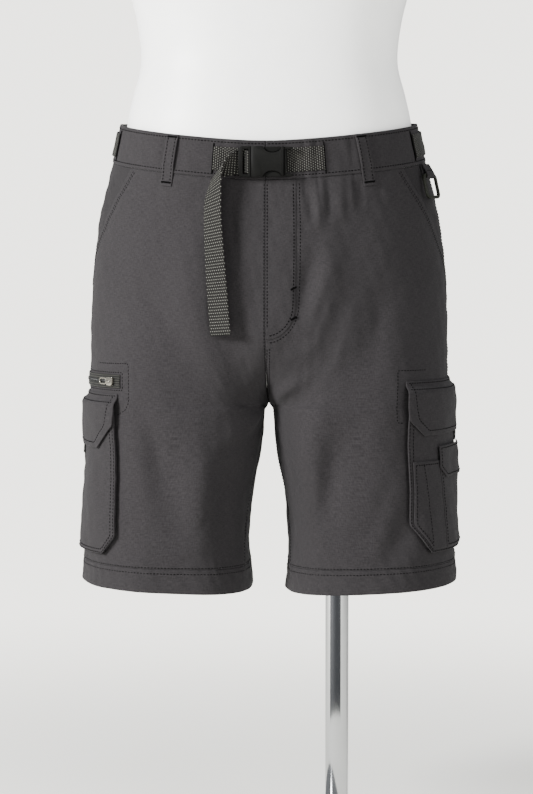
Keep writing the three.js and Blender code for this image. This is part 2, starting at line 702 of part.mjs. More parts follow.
// The fabric loop and the ring that swings in it. In the group, x is along the ring's top bar.
function makeRing() {
  const hanger = new THREE.Group();
  hanger.position.set(RING.x, RING.y, HEM_Z + RING.z);
  hanger.rotation.z = (90 + RING.turn) * DEGREE;
  group.add(hanger);

  const bore = RING.bar / 2 + 0.7;
  const outer = bore + OVERLAY;
  const { wide, high, lean } = RING_TAB;
  const tab = new THREE.Shape();
  tab.moveTo(outer, 0);
  tab.lineTo(lean + CLOTH, high);
  tab.lineTo(lean - CLOTH, high);
  tab.lineTo(-outer, 1);
  tab.lineTo(-outer, 0);
  tab.absarc(0, 0, outer, Math.PI, Math.PI * 2);
  tab.holes.push(new THREE.Path().absarc(0, 0, bore, 0, Math.PI * 2));
  const loop = new THREE.ExtrudeGeometry(tab, { depth: wide, bevelEnabled: false, curveSegments: 7 });
  loop.translate(0, 0, -wide / 2);
  loop.rotateX(Math.PI / 2);
  loop.rotateZ(Math.PI / 2);
  add('ring_tab', loop, 'cloth', hanger);

  const half = RING.wide / 2;
  const bar = RING.bar;
  const frame = roundedRectangle(new THREE.Shape(), -half, bar / 2 - RING.high, half, bar / 2, 5.5);
  frame.holes.push(roundedRectangle(
    new THREE.Path(), -half + bar, bar * 1.5 - RING.high, half - bar, -bar / 2, 2.2));
  const geometry = plate(frame, bar, 0.7);
  geometry.translate(0, bar / 2, 0);
  const ring = add('ring', geometry, 'ring', hanger);
  ring.rotation.x = RING.tilt * DEGREE;
}

function makeZip() {
  add('zip_tape', patch({
    side: -1,
    heights: steps(2, ZIP_Z - ZIP_HIGH / 2, ZIP_Z + ZIP_HIGH / 2),
    span: () => [tFromSide(-ZIP_FRONT), tFromSide(ZIP_BACK)],
    cols: 16,
    thick: OVERLAY,
    offset: () => CLOTH / 2 + SEAM + OVERLAY / 2,
  }), 'zip');

  const t = tFromSide(-SLIDER_AT);
  const stand = CLOTH / 2 + SEAM + OVERLAY + SEAM;
  const seat = place(-1, t, ZIP_Z, stand);
  const ahead = place(-1, t + 0.01, ZIP_Z, stand).sub(seat);
  const carrier = new THREE.Group();
  carrier.position.copy(seat);
  carrier.rotation.z = Math.atan2(ahead.y, ahead.x);
  group.add(carrier);

  // In the group, x runs along the zip towards the side seam and +Y stands off the leg.
  const half = SLIDER.high / 2;
  const body = roundedRectangle(new THREE.Shape(), -SLIDER.long / 2, -half, SLIDER.long / 2, half, 2);
  const slider = plate(body, SLIDER.thick, 0.6);
  slider.translate(0, SLIDER.thick + 0.1, 0);
  add('zip_slider', slider, 'metal', carrier);

  const outline = new THREE.Shape();
  roundedRectangle(outline, 0, -PULL.high / 2, PULL.long, PULL.high / 2, 3.4);
  outline.holes.push(roundedRectangle(
    new THREE.Path(), 2, -PULL.high / 2 + 1.6, PULL.long - 2, PULL.high / 2 - 1.6, 2));
  const geometry = plate(outline, PULL.thick, 0);
  geometry.translate(-PULL_PIVOT, PULL.thick / 2, 0);
  const pull = add('zip_pull', geometry, 'metal', carrier);
  pull.position.set(SLIDER.long / 2 + SEAM + PULL_PIVOT, 1.6, 0);
  pull.rotation.z = PULL.turn * DEGREE;
}

function solidFrom(geometry) {
  const plain = geometry.clone();
  plain.deleteAttribute('normal');
  plain.deleteAttribute('uv');
  const merged = mergeVertices(plain, 1e-4);
  const mesh = new wasm.Mesh({
    numProp: 3,
    vertProperties: new Float32Array(merged.attributes.position.array),
    triVerts: new Uint32Array(merged.index.array),
  });
  return new wasm.Manifold(mesh);
}

function geometryOf(solid) {
  const mesh = solid.getMesh();
  const geometry = new THREE.BufferGeometry();
  geometry.setAttribute('position', new THREE.BufferAttribute(mesh.vertProperties, 3));
  geometry.setIndex(new THREE.BufferAttribute(mesh.triVerts, 1));
  geometry.computeVertexNormals();
  return geometry;
}

function cylinder(radius, low, high, x, y, sides = 40) {
  const geometry = new THREE.CylinderGeometry(radius, radius, high - low, sides);
  geometry.rotateX(Math.PI / 2);
  geometry.translate(x, y, (low + high) / 2);
  return geometry;
}

// The torso: level rings through the FORM table, rounded in at the bottom and the top
function torsoGeometry() {
  const first = FORM[0];
  const last = FORM[FORM.length - 1];
  const bottom = steps(5, 84, 0).map((a) => ({
    z: first.z - (first.z - FORM_LOW) * Math.sin(a * DEGREE),
    share: Math.cos(a * DEGREE),
  }));
  const top = steps(3, 0, 80).map((a) => ({
    z: last.z + (FORM_HIGH - last.z) * Math.sin(a * DEGREE),
    share: 0.9 + 0.1 * Math.cos(a * DEGREE),
  }));
  const middle = steps(12, first.z, last.z).slice(1, -1).map((z) => ({ z, share: 1 }));
  const rings = [...bottom, ...middle, ...top];
  const around = 40;
  const points = [];
  for (const ring of rings) {
    const s = rowAt(FORM, Math.min(Math.max(ring.z, first.z), last.z), ['half', 'front', 'back']);
    for (let j = 0; j < around; j++) {
      const angle = (j / around) * 2 * Math.PI;
      const deep = Math.sin(angle) < 0 ? s.front : s.back;
      const x = ring.share * s.half * bulged(Math.cos(angle), HIP_POWER);
      const y = ring.share * deep * bulged(Math.sin(angle), HIP_POWER);
      points.push(new THREE.Vector3(x, y, ring.z + HEM_Z));
    }
  }
  const faces = [];
  for (let i = 0; i + 1 < rings.length; i++) {
    for (let j = 0; j < around; j++) {
      const a = i * around + j;
      const b = i * around + ((j + 1) % around);
      faces.push(a, b, b + around, a, b + around, a + around);
    }
  }
  const lowPole = points.push(new THREE.Vector3(0, 0, FORM_LOW + HEM_Z)) - 1;
  const highPole = points.push(new THREE.Vector3(0, 0, FORM_HIGH + HEM_Z)) - 1;
  const lastRing = (rings.length - 1) * around;
  for (let j = 0; j < around; j++) {
    const next = (j + 1) % around;
    faces.push(lowPole, next, j);
    faces.push(highPole, lastRing + j, lastRing + next);
  }
  return geometryFrom(points, faces);
}

function makeForm() {
  const { x, y, radius } = POLE;
  const collarLow = HEM_Z + COLLAR.low;
  const collarHigh = HEM_Z + COLLAR.high;
  const socket = cylinder(COLLAR.radius + SEAM, collarLow - 40, collarHigh + SEAM, x, y);
  const torso = solidFrom(torsoGeometry()).subtract(solidFrom(socket));
  add('form_torso', geometryOf(torso), 'form');
  add('form_collar', cylinder(COLLAR.radius, collarLow, collarHigh, x, y), 'chrome');
  add('form_pole', cylinder(radius, BASE.hubHigh + SEAM, collarLow - SEAM, x, y, 32), 'chrome');

  const edge = BASE.edge;
  const profile = [
    new THREE.Vector2(0, 0),
    new THREE.Vector2(BASE.radius - 1, 0),
    new THREE.Vector2(BASE.radius, 1),
    new THREE.Vector2(BASE.radius, BASE.thick - edge),
    new THREE.Vector2(BASE.radius - edge * 0.3, BASE.thick - edge * 0.3),
    new THREE.Vector2(BASE.radius - edge, BASE.thick),
    new THREE.Vector2(0, BASE.thick),
  ];
  const disc = new THREE.LatheGeometry(profile, 48);
  disc.rotateX(Math.PI / 2);
  const hub = cylinder(BASE.hubRadius, BASE.thick - 2, BASE.hubHigh, x, y);
  add('form_base', geometryOf(solidFrom(disc).add(solidFrom(hub))), 'chrome');
}

makeForm();
makePanels();
makeWaistband();
makeFly();
makeBeltLoops();
makeCargoPocket('cargo_right_pocket', POCKETS.right);
makeCargoPocket('cargo_left_pocket', POCKETS.left);
makeFlap('cargo_right_flap', FLAPS.right, POCKETS.right);
makeFlap('cargo_left_flap', FLAPS.left, POCKETS.left);
makePocketDetails();
makeZip();
makeBelt();
makeBeltTail();
makeBuckle();
makeRing();

export default group;
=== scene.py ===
"""Cargo shorts worn by a smooth torso form on a stand.

The garment's sizes are in millimetres, as in its pattern, and place() turns them to metres.
X runs to the wearer's left, -Y is the front, +Z is up and the floor is z = 0.
"""
import math

import bmesh
import bpy
import numpy as np
from bpy.props import FloatProperty, FloatVectorProperty, PointerProperty
from mathutils import Matrix, Vector


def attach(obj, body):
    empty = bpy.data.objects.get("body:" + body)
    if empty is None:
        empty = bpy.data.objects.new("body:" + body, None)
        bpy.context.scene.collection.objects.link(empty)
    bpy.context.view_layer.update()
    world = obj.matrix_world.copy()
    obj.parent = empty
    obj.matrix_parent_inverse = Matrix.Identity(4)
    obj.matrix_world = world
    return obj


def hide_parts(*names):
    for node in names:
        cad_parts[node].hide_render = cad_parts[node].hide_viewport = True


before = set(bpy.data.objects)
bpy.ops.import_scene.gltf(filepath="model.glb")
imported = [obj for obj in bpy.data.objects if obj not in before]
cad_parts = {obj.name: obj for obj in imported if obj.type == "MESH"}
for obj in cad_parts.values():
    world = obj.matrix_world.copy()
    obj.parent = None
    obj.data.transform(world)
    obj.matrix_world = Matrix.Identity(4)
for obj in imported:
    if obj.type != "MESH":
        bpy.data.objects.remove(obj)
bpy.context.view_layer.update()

bl_info = {
    "name": "Cargo shorts on a form",
    "version": (1, 0, 0),
    "blender": (4, 5, 0),
    "location": "3D View > Sidebar > Shorts",
    "description": "Builds cargo shorts with a webbing belt on a torso form and its stand",
    "category": "Object",
}

MM = 0.001
BODY = "shorts_and_stand"
SIDES = (("right", -1), ("left", 1))

# Heights of the garment above its hems
HEM_Z = 280
HEM_HEIGHT = 28
HEM_INNER = 2
HEM_OUTER = 9.5
CROTCH = 199
FRONT_RISE = 282
BACK_RISE = 320
BAND_BOTTOM = 454.4
BAND_TOP = 494.4
FRONT_DIP = 21.6
BACK_LIFT = 10

# Thicknesses and gaps
CLOTH = 1.5
BAND_THICK = 3
HEM_THICK = 2.4
OVERLAY = 1.2
WEBBING = 1.6
SEAM = 0.3
BUTTED = 0.04

# Shape of the sections
HIP_POWER = 2.3
LEG_POWER = 2.2
INNER_POWER = 3
INSEAM_LEAN = 26
SIDE_TURN = -5
FRONT_ARC = 524
BACK_ARC = 694

# Pocket mouths
MOUTH_LOW = 322
MOUTH_T = 0.372
MOUTH_LAP = 0.02
SEAM_T = BUTTED / 2 / FRONT_ARC

# Where the rows of stitches run, most of them as a distance in from an edge
FACE = CLOTH / 2 - 0.05
PROUD = 0.1
MOUTH_ROWS = (5.5, 8.5)
SEAM_ROWS = (2, 6.5)
RISE_ROWS = (1.8, 5.6)
INSEAM_ROW = 2.6
UPPER_HEM_ROW = HEM_HEIGHT + 1.6
LOWER_HEM_ROW = 22.6
BAND_ROW = 3.6
POCKET_ROWS = (1.6, 5.5)
FLAP_ROW = 5.4
ZIP_ROW = 2.2

# Height, half width, half the space between the legs, depth to the front and to the back
SECTIONS = (
    (0, 200, 18.5, 106, 105),
    (20, 199, 20, 106.5, 105.5),
    (52, 196.5, 22, 107, 107),
    (87, 193.5, 20, 108, 109),
    (116, 192, 16, 109, 112),
    (144, 191, 10, 110.5, 116),
    (164, 190.5, 7, 112, 120),
    (193, 190.5, 5, 114, 126),
    (240, 190.2, 4, 117, 134),
    (300, 189, 3, 119, 140),
    (350, 186, 2, 118.5, 139),
    (398, 179, 1, 116, 131),
    (454, 165, 0, 113.5, 117),
    (496, 156, 0, 112, 112),
)

# Large folds: leg (1 left, -1 right, 0 both), both ends in t and z, width, height of the ridge.
# The solids have these heights, and the dressed model has FINE_FOLDS times as much.
FINE_FOLDS = 1.5
FOLDS = (
    (-1, 0.2, 350, 0.155, 235, 26, 4.5),
    (-1, 0.3, 190, 0.215, 78, 13, -3.6),
    (-1, 0.235, 176, 0.17, 62, 17, 4.2),
    (-1, 0.03, 204, 0.14, 172, 12, 4),
    (-1, 0.13, 150, 0.1, 50, 20, -4),
    (1, 0.135, 360, 0.095, 300, 12, -3.4),
    (1, 0.17, 372, 0.135, 262, 16, 3.2),
    (1, 0.275, 310, 0.262, 240, 12, -2.4),
    (1, 0.03, 208, 0.13, 226, 10, 3),
    (1, 0.245, 184, 0.175, 92, 13, -3.4),
    (1, 0.2, 186, 0.13, 96, 15, 3.4),
    (1, 0.325, 90, 0.25, 34, 13, -2.8),
    (1, 0.16, 448, 0.15, 404, 8, 1.8),
    (1, 0.21, 450, 0.2, 412, 7, 1.6),
    (0, 0.66, 190, 0.8, 90, 16, -3.6),
    (0, 0.8, 215, 0.93, 190, 13, 3.6),
    (0, 0.74, 245, 0.9, 222, 12, -3),
    (0, 0.86, 150, 0.8, 60, 18, 3.2),
    (0, 0.62, 430, 0.6, 370, 12, -1.8),
    (0, 0.93, 420, 0.9, 360, 13, -2),
)

# Small creases that only the dressed model has, in the same columns
CREASES = (
    (-1, 0.02, 214, 0.075, 176, 5, -0.9),
    (-1, 0.05, 226, 0.13, 214, 6, 0.8),
    (-1, 0.28, 168, 0.235, 112, 6, -0.9),
    (-1, 0.2, 146, 0.155, 92, 7, 0.8),
    (-1, 0.12, 118, 0.19, 60, 6, -0.8),
    (-1, 0.16, 440, 0.15, 396, 5, 0.7),
    (-1, 0.1, 446, 0.09, 380, 6, -0.6),
    (-1, 0.3, 330, 0.22, 262, 7, -0.8),
    (1, 0.02, 214, 0.085, 186, 5, -0.9),
    (1, 0.06, 250, 0.15, 262, 7, 0.8),
    (1, 0.165, 330, 0.13, 270, 6, -0.9),
    (1, 0.22, 300, 0.2, 236, 7, 0.8),
    (1, 0.13, 446, 0.128, 408, 4, -0.8),
    (1, 0.148, 450, 0.145, 400, 4, 0.9),
    (1, 0.178, 452, 0.172, 404, 4, -0.8),
    (1, 0.235, 452, 0.228, 416, 4.5, 0.9),
    (1, 0.26, 450, 0.25, 420, 4, -0.7),
    (1, 0.19, 150, 0.15, 96, 6, 0.9),
    (1, 0.28, 120, 0.22, 60, 7, -0.8),
    (0, 0.58, 150, 0.64, 60, 7, -0.9),
    (0, 0.7, 140, 0.76, 62, 7, 0.9),
    (0, 0.84, 206, 0.95, 184, 5, -1),
    (0, 0.78, 262, 0.93, 250, 7, 0.9),
    (0, 0.68, 330, 0.8, 300, 9, -0.8),
)

# Gathers of the waist: leg, t, width and depth of each upright pucker
GATHERS = (
    (1, 0.118, 2.6, -0.56),
    (1, 0.135, 2.4, 0.42),
    (1, 0.153, 2.6, -0.63),
    (1, 0.243, 2.6, -0.49),
    (1, 0.262, 2.8, 0.42),
    (1, 0.3, 3, -0.49),
    (-1, 0.29, 3, -0.42),
    (-1, 0.25, 3.4, 0.28),
    (-1, 0.13, 3.6, -0.28),
)

# Fine unevenness all over: height, share of z, wavelength and seed
SWELLS = ((0.42, 0.5, 52, 1.7), (0.16, 1, 19, 4.1))

# Ripples at the back of the waist, at the hems and at the side seams: height, shares of the way
# round and of z, pitch, and how far, how widely and with what seed the pitch strays
PUCKERS = ((0.35, 1, 0, 15, 1, 60, 2.2), (0.22, 1, 0.5, 17, 2, 70, 0.6),
           (0.16, 0, 1, 23, 3.5, 110, 5.3))

# Belt loops: leg, whether it is at the back, x at its top and at its foot, and how far it bulges
LOOP_WIDE = 16
LOOP_BOTTOM = 440.5
LOOP_SLANT = 0.94 * 0.8
LOOPS = {
    "belt_loop_front_right": (-1, False, 94.5, 102.5, 1.6),
    "belt_loop_front_left": (1, False, 95.5, 106, 1.6),
    "belt_loop_back_right": (-1, True, 88, 92, 2.3),
    "belt_loop_back_left": (1, True, 88, 92, 2.3),
    "belt_loop_back_centre": (0, True, 0, 0, 2.3),
}

# Cargo pockets: the front and back columns are cloth distances from the side seam
POCKETS = {
    "right": dict(side=-1, top=198, bottom=43, front_top=73, front_low=95, back_top=68,
                  back_low=74, across=18, up=21),
    "left": dict(side=1, top=212, bottom=46, front_top=84, front_low=102, back_top=68,
                 back_low=74, across=26, up=32),
}
POCKET_DEPTH = 5.6
FLAPS = {
    "right": dict(side=-1, top=212, bottom=155, front=76, back=70, across=20, up=25),
    "left": dict(side=1, top=226, bottom=170, front=88, back=70, across=16, up=17),
}
FLAP_TURN = 12
FLAP_CURL = 1.6
PATCH_TOP = 143
PATCH_SPLIT = 52
PATCH_BACK = 12
SMALL_FLAP_TOP = 158
SMALL_FLAP_LOW = 124
SMALL_FLAP_CUT = 11

# The flaps' pulls: side, and the distance of their middle from the side seam
PULLS = (("right", -8), ("left", -2))

# Seen edge of the pocket bags sewn to the inside of the fronts, as x and z
BAG_STITCHES = {
    "right": ((175, 243), (142, 243.8), (142, 203.6), (145.7, 195.4), (155, 190)),
    "left": ((165, 237), (135.3, 237.4), (135.3, 183.7), (142, 183.2)),
}

FLY_WIDE = 31
FLY_TURN_HIGH = 306
FLY_TURN_DEEP = 36
FLY_THICK = 0.6
FLY_OFFSET = CLOTH / 2 + 0.1 + FLY_THICK / 2
FLY_INNER_ROW = 28
FLY_OUTER_ROW = 34.2
FLY_TACKS = (290, 322)

ZIP_Z = 225
ZIP_HIGH = 14
ZIP_FRONT = 79
ZIP_BACK = 60
SLIDER_AT = 68
SLIDER_LONG = 10
PULL_TURN = -5.5

BELT_HIGH = 24.5
BELT_Z = 473.8
SLIT_RIGHT = 53
SLIT_LEFT = 59.5
BELT_OUT_LEFT = 0.418
BELT_OUT_RIGHT = 0.44
BUCKLE_X = (-27.2, -14.6, 21.6)
BUCKLE_Z = 451
BUCKLE_HIGH = 31.5
BUCKLE_BACK = -117.2

# The belt's free end: its upper and lower edges, each x, y and z
TAIL = (
    (-27.7, -118.4, 463.4, -27.7, -118.4, 438.4),
    (-36.5, -126.5, 458, -40.5, -118.2, 436),
    (-42, -131, 448.5, -53, -115.6, 434.6),
    (-44.2, -132, 435.5, -58.4, -115.6, 423),
    (-44.4, -131.5, 420, -61.6, -115.8, 412),
    (-44.4, -131.5, 397.5, -62.6, -117.6, 392.5),
    (-39.8, -131, 336.5, -60.4, -121.6, 334),
    (-35, -130.4, 275, -56, -122.8, 273.5),
)

RING_AT = (168.5, -41, 439)
RING_TURN = 57
RING_TILT = -14
RING_WIDE = 26
RING_HIGH = 27
RING_BAR = 3.4
TAB_WIDE = 15
TAB_HIGH = 11.5
TAB_LEAN = 5.4

# Height, half width and depths of the torso form
FORM = (
    (300, 170, 106, 126),
    (350, 171, 109, 128),
    (398, 167, 110, 121),
    (440, 158.5, 109.2, 112),
    (474, 153, 110, 110.4),
    (500, 149.5, 108.6, 110.2),
    (524, 144, 104, 102),
    (558, 136, 98, 96),
    (600, 140, 99, 96),
    (640, 149.5, 103, 98),
    (660, 151, 104, 98),
)
FORM_LOW = 213
FORM_HIGH = 675
POLE_AT = (73, 2)
POLE_RADIUS = 12.5
COLLAR_RADIUS = 22
COLLAR_LOW = 214
COLLAR_HIGH = 238
BASE_RADIUS = 140
BASE_THICK = 9
BASE_EDGE = 3
HUB_RADIUS = 21
HUB_HIGH = 30


def photo_colour(red, green, blue):
    """The linear colour of a display colour given from 0 to 255."""
    def linear(value):
        value /= 255
        return value / 12.92 if value <= 0.04045 else ((value + 0.055) / 1.055) ** 2.4
    return (linear(red), linear(green), linear(blue))


def colour_field(name, description, *display):
    """A colour whose default is given as a display colour."""
    return FloatVectorProperty(name=name, description=description, subtype="COLOR", size=3,
                               min=0, max=1, default=photo_colour(*display))


def length_field(name, description, default, low, high):
    """A length in metres, which the sidebar shows with its unit."""
    return FloatProperty(name=name, description=description, subtype="DISTANCE", unit="LENGTH",
                         default=default, min=low, max=high)


class ShortsCloth(bpy.types.PropertyGroup):
    colour: colour_field("Colour", "Main colour of the cloth", 38.5, 36.4, 37.6)
    shade: colour_field("Shade", "Colour of the cloth's darker threads", 26.2, 24.6, 25.7)
    thread_pitch: length_field(
        "Thread pitch", "Distance between neighbouring threads of the weave", 0.0006, 0.0002, 0.005)
    grid: length_field(
        "Grid", "Width of the faces that the cloth is made of", 0.0026, 0.0015, 0.02)
    crinkle: FloatProperty(
        name="Crinkle", description="Strength of the small creases", default=1.6, min=0, max=3)


class ShortsTrim(bpy.types.PropertyGroup):
    webbing: colour_field("Webbing", "Ground colour of the belt", 20, 19, 17)
    ribs: colour_field("Ribs", "Colour of the belt's pale ribs", 92, 92, 86)
    rib_pitch: length_field("Rib pitch", "Distance between the belt's ribs", 0.0031, 0.001, 0.01)
    plastic: colour_field("Plastic", "Colour of the buckle", 12, 12, 11)
    # Near-black thread: partly its own dark colour, partly painted shade of the needle holes and
    # stitch grooves that the cloth does not model.
    thread: colour_field("Thread", "Colour of the sewing thread", 5, 5, 5)
    stitch: length_field("Stitch", "Length of one stitch", 0.0026, 0.001, 0.008)
    stitch_gap: length_field("Stitch gap", "Space between two stitches", 0.0009, 0.0002, 0.005)
    stitch_thick: length_field(
        "Thread thickness", "Thickness of the sewing thread", 0.00095, 0.0002, 0.002)


class ShortsStage(bpy.types.PropertyGroup):
    distance: length_field("Distance", "Distance from the camera to what it looks at", 2.6, 1, 10)
    azimuth: FloatProperty(
        name="Azimuth", description="Turn of the camera to the wearer's left",
        subtype="ANGLE", unit="ROTATION", default=math.radians(2))
    height: length_field("Height", "Height of the camera above the floor", 0.662, 0, 5)
    aim: FloatVectorProperty(
        name="Aim", description="Point in the middle of the picture", subtype="XYZ",
        unit="LENGTH", size=3, default=(-0.003, 0, 0.483))
    lens: FloatProperty(
        name="Lens", description="Focal length in millimetres", default=110.2, min=10, max=400)
    key: FloatProperty(
        name="Key light", description="Power of the large light on the left",
        subtype="POWER", unit="POWER", default=400, min=0, max=2000)
    fill: FloatProperty(
        name="Fill light", description="Power of the light on the right",
        subtype="POWER", unit="POWER", default=62, min=0, max=2000)
    surround: FloatProperty(
        name="Surround", description="Strength of the even light from all round",
        default=0.72, min=0, max=5)
    backdrop: FloatProperty(
        name="Backdrop", description="Brightness of the paper behind", default=3.2, min=0, max=10)


# Shape of the garment

def clamp01(value):
    return np.clip(value, 0, 1)


def mix(a, b, k):
    return a + (b - a) * k


def smooth(value):
    value = clamp01(value)
    return value * value * (3 - 2 * value)


def bulged(value, power):
    """One signed coordinate of a superellipse whose circle coordinate is value."""
    return np.sign(value) * np.abs(value) ** (2 / power)


def row_at(table, z):
    """The table's columns at heights z, on a smooth curve and on straight lines."""
    table = np.asarray(table, float)
    last = len(table) - 1
    i = np.clip(np.searchsorted(table[:, 0], z, side="right") - 1, 0, last - 1)
    low, high = table[i], table[i + 1]
    before, after = table[np.maximum(i - 1, 0)], table[np.minimum(i + 2, last)]
    span = high[..., :1] - low[..., :1]
    k = (z[..., None] - low[..., :1]) / span
    leave = (high - before) / (high[..., :1] - before[..., :1]) * span
    arrive = (after - low) / (after[..., :1] - low[..., :1]) * span
    rise = high - low
    bend = (3 * rise - 2 * leave - arrive) * k ** 2 + (leave + arrive - 2 * rise) * k ** 3
    return low + leave * k + bend, mix(low, high, k)


def surface(t, z):
    """The middle of the cloth on the wearer's left, before folds, in millimetres."""
    t, z = np.broadcast_arrays(np.asarray(t, float), np.asarray(z, float))
    curved, straight = row_at(SECTIONS, z)
    half, front_deep, back_deep = curved[..., 1], curved[..., 3], curved[..., 4]
    gap = straight[..., 2]
    front = t < 0.5
    inner = np.where(front, t, 1 - t) / 0.5

    angle = math.pi / 2 * (0.378 * inner + 0.622 * inner ** 2)
    hip_x = half * bulged(np.sin(angle), HIP_POWER)
    hip_y = np.where(front, -front_deep, back_deep) * bulged(np.cos(angle), HIP_POWER)

    start = -180 + INSEAM_LEAN * clamp01(1 - z / CROTCH)
    turn = np.radians(np.where(front, mix(start, SIDE_TURN, t / 0.5),
                               mix(SIDE_TURN, start + 360, (t - 0.5) / 0.5)))
    across, along = np.cos(turn), np.sin(turn)
    power = np.where((across < 0) & (along < 0), INNER_POWER, LEG_POWER)
    leg_x = (half + gap) / 2 + (half - gap) / 2 * bulged(across, power)
    leg_y = np.where(along < 0, front_deep, back_deep) * bulged(along, power)

    rise = np.where(front, FRONT_RISE, BACK_RISE)
    drop = clamp01((rise - z) / (rise - CROTCH))
    centre = 1 - np.sqrt(1 - drop ** 2)
    outside = 1 - smooth((z - 180) / 150)
    share = mix(centre, outside, smooth(inner / 0.7))
    bridge = gap * smooth((z - CROTCH + 6) / 6) * (1 - smooth(inner / 0.16))
    x = mix(hip_x, leg_x - bridge, share)

    waist = np.where(front, -FRONT_DIP, BACK_LIFT) * np.cos(math.pi / 2 * inner)
    hem = mix(HEM_INNER, HEM_OUTER, clamp01((x - gap) / (half - gap)))
    lift = waist * smooth((z - 300) / 155) + hem * (1 - smooth(z / 60))
    return np.stack([x, mix(hip_y, leg_y, share), z + lift], -1)


def normal_at(t, z):
    across = surface(np.minimum(t + 0.004, 1), z) - surface(np.maximum(t - 0.004, 0), z)
    up = surface(t, z + 2) - surface(t, z - 2)
    normal = np.cross(across, up)
    return normal / np.linalg.norm(normal, axis=-1, keepdims=True)


def fold_height(table, side, t, z):
    """Height of a table's folds above the plain surface."""
    height = np.zeros(np.broadcast(side, t, z).shape)
    for leg, t0, z0, t1, z1, wide, deep in table:
        run_t, run_z = (t1 - t0) * FRONT_ARC, z1 - z0
        here_t, here_z = (t - t0) * FRONT_ARC, z - z0
        along = clamp01((here_t * run_t + here_z * run_z) / (run_t ** 2 + run_z ** 2))
        away = np.hypot(here_t - run_t * along, here_z - run_z * along) / wide
        ridge = deep * np.exp(-away ** 2) * (0.45 + 0.55 * np.sin(math.pi * along))
        height += np.where((leg == 0) | (side == leg), ridge, 0)
    return height


def waves(x, y, length, seed):
    """A smooth and irregular pattern of about that wavelength, mostly from -1 to 1."""
    golden = 2.399963
    total = 0
    for k in range(6):
        turn = seed + golden * k
        own = length * (0.7 + 0.6 * ((0.618 * k + 0.37 * seed) % 1))
        total = total + np.sin((x * np.cos(turn) + y * np.sin(turn)) * 2 * math.pi / own + 7 * turn)
    return total / 3


def arc_at(t):
    """Distance round the cloth from the centre front."""
    return np.where(t < 0.5, t * FRONT_ARC, FRONT_ARC / 2 + (t - 0.5) * BACK_ARC)


def crinkle(side, t, z):
    """Small creases, gathers and seam puckers of the dressed model."""
    along = arc_at(t) * side
    height = fold_height(CREASES, side, t, z)
    for high, squash, length, seed in SWELLS:
        height += high * waves(along, z * squash, length, seed)
    waist = smooth((z - 408) / 40)
    for leg, at, wide, deep in GATHERS:
        away = (t - at) * FRONT_ARC / wide
        height += np.where(side == leg, waist * deep * np.exp(-away ** 2), 0)
    places = (smooth((z - 425) / 45) * smooth((t - 0.52) / 0.08),
              np.exp(-((z - 22) / 17) ** 2), np.exp(-((t - 0.5) * 600 / 12) ** 2))
    for share, (high, across, up, pitch, stray, length, seed) in zip(places, PUCKERS):
        turn = (across * along + up * z) * 2 * math.pi / pitch
        height += high * share * np.sin(turn + stray * waves(along, z, length, seed))
    return height * bpy.context.scene.shorts_cloth.crinkle * calm(side, t, z)


def calm(side, t, z):
    """A share from 0 to 1 that stills the crinkles under the hard fittings."""
    slider = np.hypot((t - t_from_side(-SLIDER_AT + 6)) * FRONT_ARC, z - ZIP_Z) / 16
    ring = np.hypot((t - 0.43) * FRONT_ARC, z - 452) / 14
    buckle = np.hypot(t * FRONT_ARC / 30, (z - BELT_Z) / 20)
    near = np.where(side < 0, np.minimum(slider, buckle), np.minimum(ring, buckle))
    return smooth(near - 0.2)


def both_sides(side, t):
    """Leg and t of each point. Side 0 crosses the centre back, with t from 1 to 2 on the right."""
    t = np.asarray(t, float)
    if side != 0:
        return np.full(t.shape, side), t
    return np.where(t <= 1, 1, -1), np.where(t <= 1, t, 2 - t)


def place(side, t, z, off=0.0, fine=True):
    """Points of the cloth in metres, moved out by off, with the folds and the crinkles."""
    leg, t = both_sides(side, t)
    z = np.asarray(z, float)
    height = off + (FINE_FOLDS if fine else 1) * fold_height(FOLDS, leg, t, z)
    if fine:
        height = height + crinkle(leg, t, z)
    point = surface(t, z) + normal_at(t, z) * height[..., None]
    point[..., 0] = leg * np.maximum(point[..., 0], BUTTED / 2)
    point[..., 2] += HEM_Z
    return point * MM


def normals(side, t, z):
    leg, t = both_sides(side, t)
    normal = normal_at(t, np.asarray(z, float))
    normal[..., 0] *= leg
    return normal


def t_at_x(x, z, back=False):
    """t where the cloth at height z is x away from the centre."""
    z = np.asarray(z, float)
    low, high = np.zeros(z.shape), np.full(z.shape, 0.5)
    for _ in range(30):
        middle = (low + high) / 2
        short = surface(1 - middle if back else middle, z)[..., 0] < x
        low, high = np.where(short, middle, low), np.where(short, high, middle)
    return 1 - low if back else low


def t_from_side(distance):
    """t at a distance along the cloth from the side seam, negative towards the front."""
    distance = np.asarray(distance, float)
    return 0.5 + distance / np.where(distance < 0, FRONT_ARC, BACK_ARC)


def from_side(t):
    """The distance along the cloth from the side seam, negative towards the front."""
    return (t - 0.5) * np.where(t < 0.5, FRONT_ARC, BACK_ARC)


def mouth_t(z):
    """t of the slanted pocket mouth at height z."""
    return mix(0.5, MOUTH_T, clamp01((z - MOUTH_LOW) / (BAND_BOTTOM - MOUTH_LOW)))


# Meshes of the cloth

# Distances of the two lines next to a piece's edge, and shares of its thickness at and near it
CLOSE_LINES = (0.4, 1.1)
EDGE_THICK = (0.3, 0.82)


def grid_mm():
    """Width of the cloth's faces in millimetres."""
    return bpy.context.scene.shorts_cloth.grid / MM


def uv_grid(across, up):
    """UV in metres from two grids of distances in millimetres."""
    return np.stack(np.broadcast_arrays(across * MM, up * MM), -1)


def spread(low, high):
    """Even values from low to high, with two more close to each end for a rounded edge."""
    count = max(2, math.ceil((high - low - 4) / grid_mm()))
    near, far = CLOSE_LINES
    inside = np.linspace(low + 2, high - 2, count + 1)
    return np.concatenate([[low, low + near, low + far], inside, [high - far, high - near, high]])


def edge_shares(count):
    """Share of the full thickness on each line of a piece, thin at both ends."""
    shares = np.ones(count)
    shares[:2], shares[-2:] = EDGE_THICK, EDGE_THICK[::-1]
    return shares


